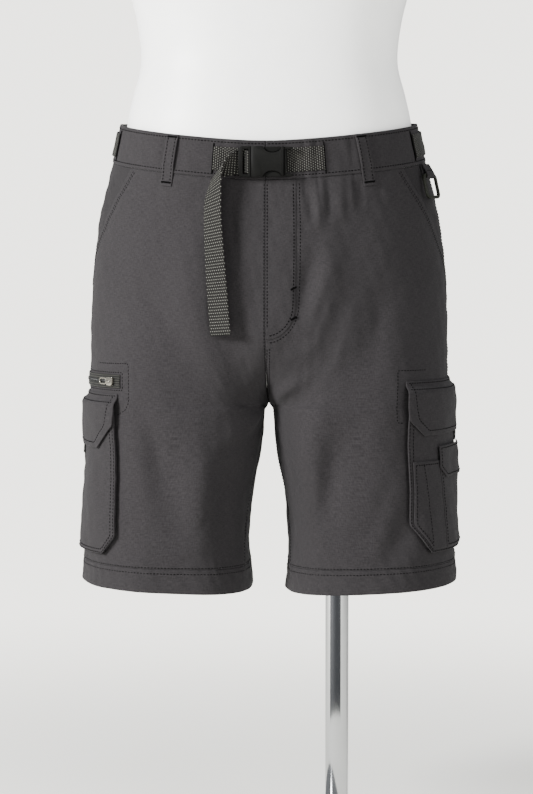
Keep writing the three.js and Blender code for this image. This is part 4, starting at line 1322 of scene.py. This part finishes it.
def make_small_pockets():
    """The patch and side pocket on the left cargo pocket, the side flap and the two pulls."""
    p = POCKETS["left"]
    inset = 4
    low, row_top = p["bottom"] + inset, PATCH_TOP - 3.5
    face = POCKET_FACE + 2 * SEAM + OVERLAY + PROUD
    outer = face + OVERLAY + 2 * SEAM

    def sewn(word, off, *lines):
        return [stitch_rows(f"cargo_left_{word}_stitching",
                            [pocket_trace(p, line, off) for line in lines])]

    def front(z):
        return pocket_edges(p, z)[0] + inset

    def flap_edges(z):
        cut = SMALL_FLAP_CUT * clamp01(1 - (z - SMALL_FLAP_LOW) / SMALL_FLAP_CUT)
        return -PATCH_SPLIT - 2 + cut, PATCH_BACK + 2

    rows = sewn("patch", face,
                [(front(z) + 3, z) for z in (PATCH_TOP - 3, p["bottom"] + p["up"], low + 3)],
                [(front(PATCH_TOP - 3) + 2, row_top), (-PATCH_SPLIT - 2, row_top)],
                [(-75, PATCH_TOP - 3), (-75, low + 6)])
    on_pocket("cargo_left_patch_pocket_cloth", p, low, PATCH_TOP,
              lambda z: (front(z), -PATCH_SPLIT - SEAM), "patch", rows)

    left, right = -PATCH_SPLIT + 3, PATCH_BACK - 3
    rows = sewn("side", face, [(left, PATCH_TOP - 3), (left, low + 3), (right, low + 3)],
                [(left, row_top), (right, row_top)])
    on_pocket("cargo_left_side_pocket_cloth", p, low, PATCH_TOP,
              lambda z: (-PATCH_SPLIT + SEAM, PATCH_BACK), "side_pocket", rows)

    left, bottom = -PATCH_SPLIT + 1, SMALL_FLAP_LOW + 3
    rows = sewn("small_flap", outer,
                [(left, SMALL_FLAP_TOP - 2), (left, SMALL_FLAP_LOW + SMALL_FLAP_CUT + 1),
                 (-PATCH_SPLIT + SMALL_FLAP_CUT, bottom), (PATCH_BACK - 1, bottom)],
                [(-PATCH_SPLIT, SMALL_FLAP_TOP - 2.5), (PATCH_BACK, SMALL_FLAP_TOP - 2.5)])
    on_pocket("cargo_left_small_flap_cloth", p, SMALL_FLAP_LOW, SMALL_FLAP_TOP, flap_edges,
              "small_flap", rows, OVERLAY + 2 * SEAM)

    for word, middle in PULLS:
        top = FLAPS[word]["bottom"]
        on_pocket(f"flap_pull_{word}_webbing", POCKETS[word], top - 10.5, top - SEAM,
                  lambda z: (middle - 6 + 0.1 * (top - z), middle + 6 - 0.1 * (top - z)), "pull",
                  stand=-0.45, thick=1.4, slot="webbing",
                  material=webbing_material("shorts_pull", False))


def make_belt():
    """The belt's stretches beside the buckle and round the back, with the slits' tacks."""
    heights = spread(BELT_Z - BELT_HIGH / 2, BELT_Z + BELT_HIGH / 2)
    lying = BAND_THICK / 2 + SEAM + WEBBING / 2
    webbing = webbing_material()

    def tack(side, t):
        return bartack(side, [(t, heights[0] - 3), (t, heights[-1] + 3)], lying - 0.4, wide=1.3)

    stubs = (("right", -1, -BUCKLE_X[1] + 0.5, SLIT_RIGHT), ("left", 1, BUCKLE_X[2] - 6, SLIT_LEFT))
    for word, side, first, last in stubs:
        edges = t_at_x(first, BELT_Z), t_at_x(last, BELT_Z)
        piece = cloth_piece(f"belt_{word}_webbing", side, heights, lambda z: edges, WEBBING,
                            lambda z, t: lying)
        tacks = bartacks(f"belt_{word}_slit_tack", [tack(side, t_at_x(last + 0.6, BELT_Z))])
        finish_piece(piece, webbing,
                     [tacks])
    first, last = BELT_OUT_LEFT, 2 - BELT_OUT_RIGHT
    piece = cloth_piece("belt_back_webbing", 0, heights, lambda z: (first, last), WEBBING,
                        lambda z, t: lying + SEAM)
    tacks = bartacks("belt_back_slit_tacks", [tack(0, t) for t in (first - 0.002, last + 0.002)])
    finish_piece(piece, webbing, [tacks])


def through(points, shares):
    """A smooth curve through points, whose speed follows the root of their distances."""
    points = np.asarray(points, float)
    before, after = 2 * points[0] - points[1], 2 * points[-1] - points[-2]
    whole = np.vstack([before, points, after])
    made = []
    for share in shares:
        at = share * (len(points) - 1)
        i = min(int(at), len(points) - 2)
        k = at - i
        p0, p1, p2, p3 = whole[i:i + 4]
        d0, d1, d2 = (np.linalg.norm(b - a) ** 0.5 for a, b in ((p0, p1), (p1, p2), (p2, p3)))
        leave = ((p1 - p0) / d0 - (p2 - p0) / (d0 + d1) + (p2 - p1) / d1) * d1
        arrive = ((p2 - p1) / d1 - (p3 - p1) / (d1 + d2) + (p3 - p2) / d2) * d1
        rise = p2 - p1
        made.append(p1 + leave * k + (3 * rise - 2 * leave - arrive) * k ** 2
                    + (leave + arrive - 2 * rise) * k ** 3)
    return np.array(made)


def make_tail():
    """The belt's free end, which leaves the buckle, rolls over and hangs down."""
    rows = np.asarray(TAIL, float)
    rows[:, (2, 5)] += HEM_Z
    shares = np.linspace(0, 1, 130)
    top, low = through(rows[:, :3], shares), through(rows[:, 3:], shares)
    k = spread(0, BELT_HIGH) / BELT_HIGH
    middle = mix(top[:, None], low[:, None], k[None, :, None])
    ahead = np.gradient(middle, axis=0)
    normal = np.cross(ahead, (low - top)[:, None])
    normal /= np.linalg.norm(normal, axis=-1, keepdims=True)
    full = (edge_shares(len(shares))[:, None] * edge_shares(len(k)))[..., None] * WEBBING / 2
    uv = uv_grid(run_along((top + low) / 2)[:, None], k[None, :] * BELT_HIGH)
    piece = make_wall("belt_tail_webbing", (middle - normal * full) * MM,
                      (middle + normal * full) * MM, uv)
    finish_piece(piece, webbing_material(),
                 [make_wrap()])


def make_wrap():
    """The short stretch of webbing that shows in the ladder's slot."""
    turn = np.linspace(math.radians(-80), math.radians(80), 13)
    middle_x, radius = -18.6, 2.6
    k = spread(0, BELT_HIGH - 1.5)
    across = k - (BELT_HIGH - 1.5) / 2
    layers = []
    for reach in (radius, radius - WEBBING):
        x = middle_x + reach * 1.1 * np.sin(turn)[:, None] + 0 * across
        y = BUCKLE_BACK - 1.2 - reach * np.cos(turn)[:, None] + 0 * across
        z = HEM_Z + BUCKLE_Z + across[None, :] + 0 * x
        layers.append(np.stack([x, y, z], -1) * MM)
    piece = make_wall("belt_wrap_webbing", *layers, uv_grid(turn[:, None] * radius, k[None, :]),
                      mirrored=True)
    piece.data.materials.append(webbing_material())
    return piece


def make_buckle():
    """The side-release buckle: a ladder half and a socket half with its prongs."""
    plastic = hard_material("shorts_plastic", tuple(bpy.context.scene.shorts_trim.plastic), 0.5,
                            shine=0.07)
    left, split, right = BUCKLE_X
    high = BUCKLE_HIGH / 2
    middle = HEM_Z + BUCKLE_Z
    back = BUCKLE_BACK

    ladder = block("buckle_ladder_moulding", (left, back - 5, middle - high),
                   (split, back, middle + high))
    round_corners(ladder, 3.4, lambda at: at.x < (left + split) / 2)
    slot = block("slot", (left + 4.2, back - 8, middle - high + 3),
                 (split - 2.4, back + 3, middle + high - 3))
    round_corners(slot, 1)
    cut_out(ladder, slot)
    soften(ladder, 0.9)
    finish_piece(ladder, plastic)

    body = block("buckle_body_moulding", (split + SEAM, back - 6.9, middle - high),
                 (right - 3, back, middle + high))
    raise_front(body, 2.6, 1.1)
    for sign in (-1, 1):
        notch = rod("notch", 10, -9, 9, (0, 0), 64)
        shape_rod(notch, (7.4, back - 4, middle + sign * (high + 0.6)), 0.72)
        cut_out(body, notch)
    soften(body, 0.8)

    parts = []
    for sign in (-1, 1):
        prong = rod("prong", 9.3, -2.3, 2.3, (0, 0), 64)
        shape_rod(prong, (7.4, back - 3.3, middle + sign * (high + 0.4)), 0.68)
        trim = block("trim", (-20, back - 12, middle + sign * (high + 5) - 5.6),
                     (30, back + 5, middle + sign * (high + 5) + 5.6))
        cut_out(prong, trim)
        soften(prong, 0.6)
        parts.append(prong)

    end = block("end", (right - 3.2, back - 5.2, middle - high + 0.8),
                (right, back, middle + high - 0.8))
    soften(end, 1.3)
    parts.append(end)
    for sign in (-1, 1):
        ear = block("ear", (right - 3.2, back - 5.6, middle + sign * (high - 2) - 1.5),
                    (right + 6.4, back - 1.6, middle + sign * (high - 2) + 1.5))
        soften(ear, 1.2)
        parts.append(ear)
    join(body, *parts)
    finish_piece(body, plastic)


def shape_rod(piece, at, flat):
    """Turns an upright rod to lie along Y at a point, flattened in height."""
    lie = Matrix.Rotation(math.radians(90), 4, "X")
    press = Matrix.Diagonal((1, 1, flat, 1))
    piece.data.transform(Matrix.Translation(Vector(at) * MM) @ press @ lie)


def make_ring():
    """The plastic ring at the left hip, and the fabric loop that it swings in."""
    x, y, z = RING_AT
    seat = (Matrix.Translation(Vector((x, y, HEM_Z + z)) * MM)
            @ Matrix.Rotation(math.radians(RING_TURN), 4, "Z"))
    half, bar = RING_WIDE / 2, RING_BAR
    ring = block("ring_moulding", (-half, -bar / 2, bar / 2 - RING_HIGH), (half, bar / 2, bar / 2))
    round_corners(ring, 5.5)
    hole = block("hole", (-half + bar, -5, bar * 1.5 - RING_HIGH), (half - bar, 5, -bar / 2))
    round_corners(hole, 2.4)
    cut_out(ring, hole)
    soften(ring, 1.2, 4)
    ring.data.transform(seat @ Matrix.Rotation(math.radians(RING_TILT), 4, "X"))
    plastic = hard_material("shorts_ring", photo_colour(24, 25, 20), 0.5, shine=0.12)
    finish_piece(ring, plastic, body="ring")
    make_ring_tab(seat)


def make_ring_tab(seat):
    """The fabric loop: down inside, round the ring's bar and up outside, with its tack."""
    reach = RING_BAR / 2 + 0.7 + OVERLAY / 2
    turn = np.linspace(0, -math.pi, 13)
    part_way = np.linspace(0, 1, 8)[:, None]
    lean = CLOTH - OVERLAY / 2
    path = np.concatenate([
        mix(np.array((TAB_LEAN + lean, TAB_HIGH)), np.array((reach, 0)), part_way[:-1]),
        reach * np.stack([np.cos(turn), np.sin(turn)], -1),
        mix(np.array((-reach, 0.5)), np.array((TAB_LEAN - lean, TAB_HIGH)), part_way[1:])])
    ahead = np.gradient(path, axis=0)
    ahead /= np.linalg.norm(ahead, axis=1, keepdims=True)
    out = np.stack([-ahead[:, 1], ahead[:, 0]], -1)
    across = spread(0, TAB_WIDE) - TAB_WIDE / 2
    half_thick = OVERLAY / 2 * edge_shares(len(across))[None, :, None]
    layers = []
    for sign in (-1, 1):
        moved = path[:, None] + sign * out[:, None] * half_thick
        wide = np.broadcast_to(across[None, :, None], (*moved.shape[:2], 1))
        layers.append(np.concatenate([wide, moved], -1) * MM)
    tab = make_wall("ring_tab_cloth", *layers, uv_grid(across[None, :], run_along(path)[:, None]))
    tab.data.transform(seat)

    level = 4.6
    depth = mix(-RING_BAR / 2 - 0.7 - OVERLAY, TAB_LEAN - CLOTH, level / TAB_HIGH) - PROUD
    at = np.arange(-5.8, 5.2, 1.1)
    starts = np.stack([at, 0 * at + depth, 0 * at + level], -1) * MM
    ends = starts + np.array((0.9, 0, 0.3)) * MM
    ups = np.broadcast_to(np.array((0, -1.0, 0.4)), starts.shape)
    tack = beads("ring_tab_bartack", starts, ends, ups, 0.0009)
    tack.data.transform(seat)
    finish_piece(tab, cloth_material(), [tack])


def make_zip():
    """The thigh pocket's zip: tape, coil, slider and pull tab."""
    face = CLOTH / 2 + SEAM + OVERLAY
    low, high = ZIP_Z - ZIP_HIGH / 2, ZIP_Z + ZIP_HIGH / 2
    edges = t_from_side(-ZIP_FRONT), t_from_side(ZIP_BACK)
    tape = cloth_piece("zip_tape_webbing", -1, spread(low, high), lambda z: edges, OVERLAY,
                       lambda z, t: face - OVERLAY / 2)
    t = t_from_side(np.arange(-SLIDER_AT + 4, ZIP_BACK - 3, 1.3))
    shift = np.where(np.arange(len(t)) % 2 == 0, 0.35, -0.35)
    ends = [place(-1, t, ZIP_Z + half + shift, face + 0.25) for half in (-1.5, 1.5)]
    coil = beads("zip_coil", *ends, normals(-1, t, np.full(t.shape, ZIP_Z)), 0.00125,
                 hard_material("shorts_coil", photo_colour(12, 12, 11), 0.4))
    bottom, top = low - ZIP_ROW, high + ZIP_ROW
    front, back = t_from_side(-ZIP_FRONT - ZIP_ROW), t_from_side(ZIP_BACK + ZIP_ROW)
    corners = [(back, bottom), (front, bottom), (front, top), (back, top), (back, bottom)]
    sewn = stitch_rows("zip_stitching", [trace(-1, corners, FACE)])
    finish_piece(tape, tape_material(),
                 [coil, sewn])

    at = t_from_side(-SLIDER_AT)
    seat = place(-1, np.array([at, at + 0.01]), np.array([ZIP_Z, ZIP_Z]), face + SEAM, fine=False)
    ahead = seat[1] - seat[0]
    carrier = (Matrix.Translation(Vector(seat[0]))
               @ Matrix.Rotation(math.atan2(ahead[1], ahead[0]), 4, "Z"))
    metal = hard_material("shorts_metal", photo_colour(150, 146, 136), 0.25, 1.0, 900, 0.00012)
    slider = block("zip_slider_metal", (-SLIDER_LONG / 2, 0.1, -4.25), (SLIDER_LONG / 2, 3.2, 4.25))
    round_corners(slider, 2.4)
    for sign in (-1, 1):
        cut_out(slider, block("groove", (-8, 1.2, sign * 4.4 - 1), (8, 2, sign * 4.4 + 1)))
    soften(slider, 0.35)
    crown = block("crown", (-2.6, 2.6, -1.1), (3.8, 4.3, 1.1))
    soften(crown, 0.7)
    join(slider, crown)
    slider.data.transform(carrier)
    finish_piece(slider, metal)

    pull = block("zip_pull_metal", (-1, -0.6, -3.75), (13, 0.6, 3.75))
    round_corners(pull, 3.3)
    hole = block("hole", (1, -3, -2.1), (11, 3, 2.1))
    round_corners(hole, 1.9)
    cut_out(pull, hole)
    soften(pull, 0.4)
    hinge = Matrix.Translation(Vector((SLIDER_LONG / 2 + SEAM + 1, 1.6, 0)) * MM)
    pull.data.transform(carrier @ hinge @ Matrix.Rotation(math.radians(PULL_TURN), 4, "Z"))
    finish_piece(pull, metal, body="zip_pull")


def make_form():
    """The smooth torso form, closed at the top, with a socket for the stand."""
    low, high = FORM[0][0], FORM[-1][0]
    bottom = np.linspace(math.radians(86), 0, 14)
    rings = [(low - (low - FORM_LOW) * math.sin(a), math.cos(a)) for a in bottom]
    rings += [(z, 1) for z in np.arange(low + 6, high - 3, 6)]
    rings += [(high + (FORM_HIGH - high) * math.sin(a), 0.9 + 0.1 * math.cos(a))
              for a in np.linspace(0, math.pi / 2, 12)]
    rings += [(FORM_HIGH, share) for share in (0.84, 0.6, 0.3)]
    heights = np.array([ring[0] for ring in rings])
    shares = np.array([ring[1] for ring in rings])[:, None]
    curved, _ = row_at(FORM, np.clip(heights, low, high))
    around = 160
    angle = np.linspace(0, 2 * math.pi, around, endpoint=False)[None, :]
    deep = np.where(np.sin(angle) < 0, curved[:, 2:3], curved[:, 3:4])
    x = shares * curved[:, 1:2] * bulged(np.cos(angle), HIP_POWER)
    y = shares * deep * bulged(np.sin(angle), HIP_POWER)
    z = np.broadcast_to(heights[:, None] + HEM_Z, x.shape)
    points = np.stack([x, y, z], -1).reshape(-1, 3)
    points = np.vstack([points, (0, 0, FORM_LOW + HEM_Z), (0, 0, FORM_HIGH + HEM_Z)]) * MM
    faces = []
    for i in range(len(rings) - 1):
        for j in range(around):
            a, b = i * around + j, i * around + (j + 1) % around
            faces.append((a, b, b + around, a + around))
    last = (len(rings) - 1) * around
    for j in range(around):
        following = (j + 1) % around
        faces.append((len(points) - 2, following, j))
        faces.append((len(points) - 1, last + j, last + following))
    form = new_mesh("form_torso_shell", points, faces)
    socket = rod("socket", COLLAR_RADIUS + SEAM, HEM_Z + COLLAR_LOW - 40,
                 HEM_Z + COLLAR_HIGH + SEAM, POLE_AT)
    cut_out(form, socket)
    form.data.shade_smooth()
    white = hard_material("form_shell", photo_colour(247, 247, 244), 0.42, 0.0, 700, 0.00005, 1.02)
    finish_piece(form, white)


def make_stand():
    """The chrome collar, pole and round base."""
    chrome = hard_material("stand_chrome", photo_colour(178, 179, 180), 0.1, 1.0, 400, 0.00001,
                           1.04)
    collar_low = HEM_Z + COLLAR_LOW
    collar = rod("form_collar_chrome", COLLAR_RADIUS, collar_low, HEM_Z + COLLAR_HIGH, POLE_AT)
    soften(collar, 1.2)
    finish_piece(collar, chrome)
    pole = rod("form_pole_chrome", POLE_RADIUS, HUB_HIGH + SEAM, collar_low - SEAM, POLE_AT)
    soften(pole, 0.6)
    finish_piece(pole, chrome)
    base = rod("form_base_chrome", BASE_RADIUS, 0, BASE_THICK, (0, 0), 180)
    soften(base, BASE_EDGE, 5)
    hub = rod("hub", HUB_RADIUS, BASE_THICK - 1, HUB_HIGH, POLE_AT)
    soften(hub, 1.5, 4)
    join(base, hub)
    finish_piece(base, chrome)


# The studio in metres: the floor, where it is fully lit and where it has melted into the
# backdrop, and each light's place and size
FLOOR_RADIUS = 40
LIT_RADIUS = 0.25
FADE = 1.7
BACKDROP = (1, 0.985, 0.925)
SURROUND = (0.95, 0.97, 1)
KEY = ((-2.65, -1.85, 1.7), 1.1)
FILL = ((1.9, -2.2, 1.2), 1.8)
LIGHTS_AIM = (0, 0, 0.5)


def make_stage():
    """A wide pale floor that melts into the backdrop, soft lights and the camera."""
    stage = bpy.context.scene.shorts_stage
    bpy.ops.object.select_all(action="DESELECT")
    bpy.ops.mesh.primitive_circle_add(vertices=96, radius=FLOOR_RADIUS, fill_type="NGON")
    floor = bpy.context.object
    floor.name = "studio_floor"
    floor.data.materials.append(paper_material())

    world = bpy.data.worlds.new("studio")
    world.use_nodes = True
    tree = world.node_tree
    even = tree.nodes["Background"]
    even.inputs["Color"].default_value = (*SURROUND, 1)
    even.inputs["Strength"].default_value = stage.surround
    behind = add_node(tree, "Background", {"Color": (*BACKDROP, 1), "Strength": stage.backdrop})
    seen = add_node(tree, "LightPath").outputs["Is Camera Ray"]
    mixed = add_node(tree, "MixShader", {0: seen, 1: even.outputs[0], 2: behind.outputs[0]})
    tree.links.new(mixed.outputs[0], tree.nodes["World Output"].inputs["Surface"])
    bpy.context.scene.world = world
    add_light("key", *KEY, stage.key)
    add_light("fill", *FILL, stage.fill)
    make_card()

    aim = Vector(stage.aim)
    side = Vector((math.sin(stage.azimuth), -math.cos(stage.azimuth), 0)) * stage.distance
    place_at = Vector((aim.x, aim.y, 0)) + side + Vector((0, 0, stage.height))
    bpy.ops.object.camera_add(location=place_at)
    camera = bpy.context.object
    camera.name = "photograph_camera"
    camera.rotation_euler = (aim - place_at).to_track_quat("-Z", "Y").to_euler()
    camera.data.lens = stage.lens
    camera.data.sensor_width = 36
    bpy.context.scene.camera = camera


# A dark card on the floor that only polished metal sees, round the pole: nearest and furthest
# distance, and where it starts and stops from straight ahead, in degrees
CARD = (0.42, 5, -72, 38)


def make_card():
    """The card whose reflection darkens the middle of the pole."""
    near, far, start, stop = CARD
    turn = np.radians(np.linspace(start, stop, 24))
    ring = np.stack([np.sin(turn), -np.cos(turn), 0 * turn], -1)
    at = np.array((*POLE_AT, 2)) * MM
    faces = [(k, k + 1, k + 25, k + 24) for k in range(23)]
    card = new_mesh("reflection_card", np.vstack([ring * far, ring * near]) + at, faces)
    card.data.materials.append(hard_material("studio_card", photo_colour(24, 26, 30), 0.9))
    card.visible_camera = card.visible_diffuse = card.visible_shadow = False


def paper_material():
    """Matt pale studio paper with a faint mottle, as bright as the backdrop further out."""
    material, tree, shader = start_material("studio_paper", Roughness=0.95)
    vector = add_node(tree, "TexCoord").outputs["Object"]
    mottle = noise(tree, vector, 1.2, 2)
    colour = between(tree, mottle, photo_colour(244, 243, 236), photo_colour(248, 247, 240))
    tree.links.new(colour, shader.inputs["Base Color"])
    away = add_node(tree, "VectorMath", {0: vector}, operation="LENGTH").outputs["Value"]
    share = add_node(tree, "MapRange", {
        "Value": away, "From Min": LIT_RADIUS, "From Max": FADE}, interpolation_type="SMOOTHSTEP")
    seen = add_node(tree, "LightPath").outputs["Is Camera Ray"]
    glow = add_node(tree, "Emission", {
        "Color": (*BACKDROP, 1), "Strength": bpy.context.scene.shorts_stage.backdrop})
    mixed = add_node(tree, "MixShader", {
        0: maths(tree, "MULTIPLY", seen, share.outputs[0]), 1: shader.outputs[0],
        2: glow.outputs[0]})
    tree.links.new(mixed.outputs[0], tree.nodes["Material Output"].inputs["Surface"])
    return material


def add_light(name, at, size, power):
    """A square area light that looks at the middle of the object."""
    bpy.ops.object.light_add(type="AREA", location=at)
    light = bpy.context.object
    light.name = name
    light.data.shape = "DISK"
    light.data.size = size
    light.data.energy = power
    light.rotation_euler = (Vector(LIGHTS_AIM) - Vector(at)).to_track_quat("-Z", "Y").to_euler()


# Operators

class SHORTS_OT_panels(bpy.types.Operator):
    """Make the two fronts and the two backs"""
    bl_idname = "shorts.panels"
    bl_label = "Fronts and backs"

    def execute(self, context):
        make_panels()
        return {"FINISHED"}


class SHORTS_OT_facings(bpy.types.Operator):
    """Make the cloth behind the slanted pocket mouths"""
    bl_idname = "shorts.facings"
    bl_label = "Pocket facings"

    def execute(self, context):
        make_facings()
        return {"FINISHED"}


class SHORTS_OT_hems(bpy.types.Operator):
    """Make the turned-up hems"""
    bl_idname = "shorts.hems"
    bl_label = "Hems"

    def execute(self, context):
        make_hems()
        return {"FINISHED"}


class SHORTS_OT_waistband(bpy.types.Operator):
    """Make the waistband"""
    bl_idname = "shorts.waistband"
    bl_label = "Waistband"

    def execute(self, context):
        make_waistband()
        return {"FINISHED"}


class SHORTS_OT_fly(bpy.types.Operator):
    """Make the fly with its curved stitching"""
    bl_idname = "shorts.fly"
    bl_label = "Fly"

    def execute(self, context):
        make_fly()
        return {"FINISHED"}


class SHORTS_OT_belt_loops(bpy.types.Operator):
    """Make the five belt loops"""
    bl_idname = "shorts.belt_loops"
    bl_label = "Belt loops"

    def execute(self, context):
        make_belt_loops()
        return {"FINISHED"}


class SHORTS_OT_cargo_pockets(bpy.types.Operator):
    """Make both cargo pockets and their flaps"""
    bl_idname = "shorts.cargo_pockets"
    bl_label = "Cargo pockets"

    def execute(self, context):
        for word in ("right", "left"):
            make_cargo_pocket(word)
            make_flap(word)
        return {"FINISHED"}


class SHORTS_OT_small_pockets(bpy.types.Operator):
    """Make the small pockets on the left cargo pocket, their flap and the flap pulls"""
    bl_idname = "shorts.small_pockets"
    bl_label = "Small pockets and pulls"

    def execute(self, context):
        make_small_pockets()
        return {"FINISHED"}


class SHORTS_OT_belt(bpy.types.Operator):
    """Make the belt's flat stretches and its free end"""
    bl_idname = "shorts.belt"
    bl_label = "Belt"

    def execute(self, context):
        make_belt()
        make_tail()
        return {"FINISHED"}


class SHORTS_OT_buckle(bpy.types.Operator):
    """Make the side-release buckle"""
    bl_idname = "shorts.buckle"
    bl_label = "Buckle"

    def execute(self, context):
        make_buckle()
        return {"FINISHED"}


class SHORTS_OT_ring(bpy.types.Operator):
    """Make the plastic ring and its fabric loop"""
    bl_idname = "shorts.ring"
    bl_label = "Ring and loop"

    def execute(self, context):
        make_ring()
        return {"FINISHED"}


class SHORTS_OT_zip(bpy.types.Operator):
    """Make the thigh pocket's zip"""
    bl_idname = "shorts.zip"
    bl_label = "Zip"

    def execute(self, context):
        make_zip()
        return {"FINISHED"}


class SHORTS_OT_form(bpy.types.Operator):
    """Make the torso form"""
    bl_idname = "shorts.form"
    bl_label = "Torso form"

    def execute(self, context):
        make_form()
        return {"FINISHED"}


class SHORTS_OT_stand(bpy.types.Operator):
    """Make the collar, the pole and the base"""
    bl_idname = "shorts.stand"
    bl_label = "Stand"

    def execute(self, context):
        make_stand()
        return {"FINISHED"}


class SHORTS_OT_stage(bpy.types.Operator):
    """Make the floor, the lights and the camera"""
    bl_idname = "shorts.stage"
    bl_label = "Stage"

    def execute(self, context):
        make_stage()
        return {"FINISHED"}


OPERATORS = (
    SHORTS_OT_form, SHORTS_OT_stand, SHORTS_OT_waistband, SHORTS_OT_panels, SHORTS_OT_facings,
    SHORTS_OT_hems, SHORTS_OT_fly, SHORTS_OT_belt_loops, SHORTS_OT_cargo_pockets,
    SHORTS_OT_small_pockets, SHORTS_OT_buckle, SHORTS_OT_belt, SHORTS_OT_ring, SHORTS_OT_zip,
    SHORTS_OT_stage,
)
GROUPS = {"shorts_cloth": ShortsCloth, "shorts_trim": ShortsTrim, "shorts_stage": ShortsStage}


class SHORTS_PT_sidebar(bpy.types.Panel):
    """Sizes, colours and the maker of each piece"""
    bl_idname = "SHORTS_PT_sidebar"
    bl_label = "Cargo shorts"
    bl_space_type = "VIEW_3D"
    bl_region_type = "UI"
    bl_category = "Shorts"

    def draw(self, context):
        for name, group in GROUPS.items():
            box = self.layout.box()
            for field in group.__annotations__:
                box.prop(getattr(context.scene, name), field)
        for operator in OPERATORS:
            self.layout.operator(operator.bl_idname)


def register():
    for item in (*GROUPS.values(), *OPERATORS, SHORTS_PT_sidebar):
        bpy.utils.register_class(item)
    for name, group in GROUPS.items():
        setattr(bpy.types.Scene, name, PointerProperty(type=group))


def unregister():
    for name in GROUPS:
        delattr(bpy.types.Scene, name)
    for item in (SHORTS_PT_sidebar, *reversed(OPERATORS), *reversed(GROUPS.values())):
        bpy.utils.unregister_class(item)


def main():
    register()
    for operator in OPERATORS:
        group, name = operator.bl_idname.split(".")
        getattr(getattr(bpy.ops, group), name)()


if __name__ == "__main__":
    main()
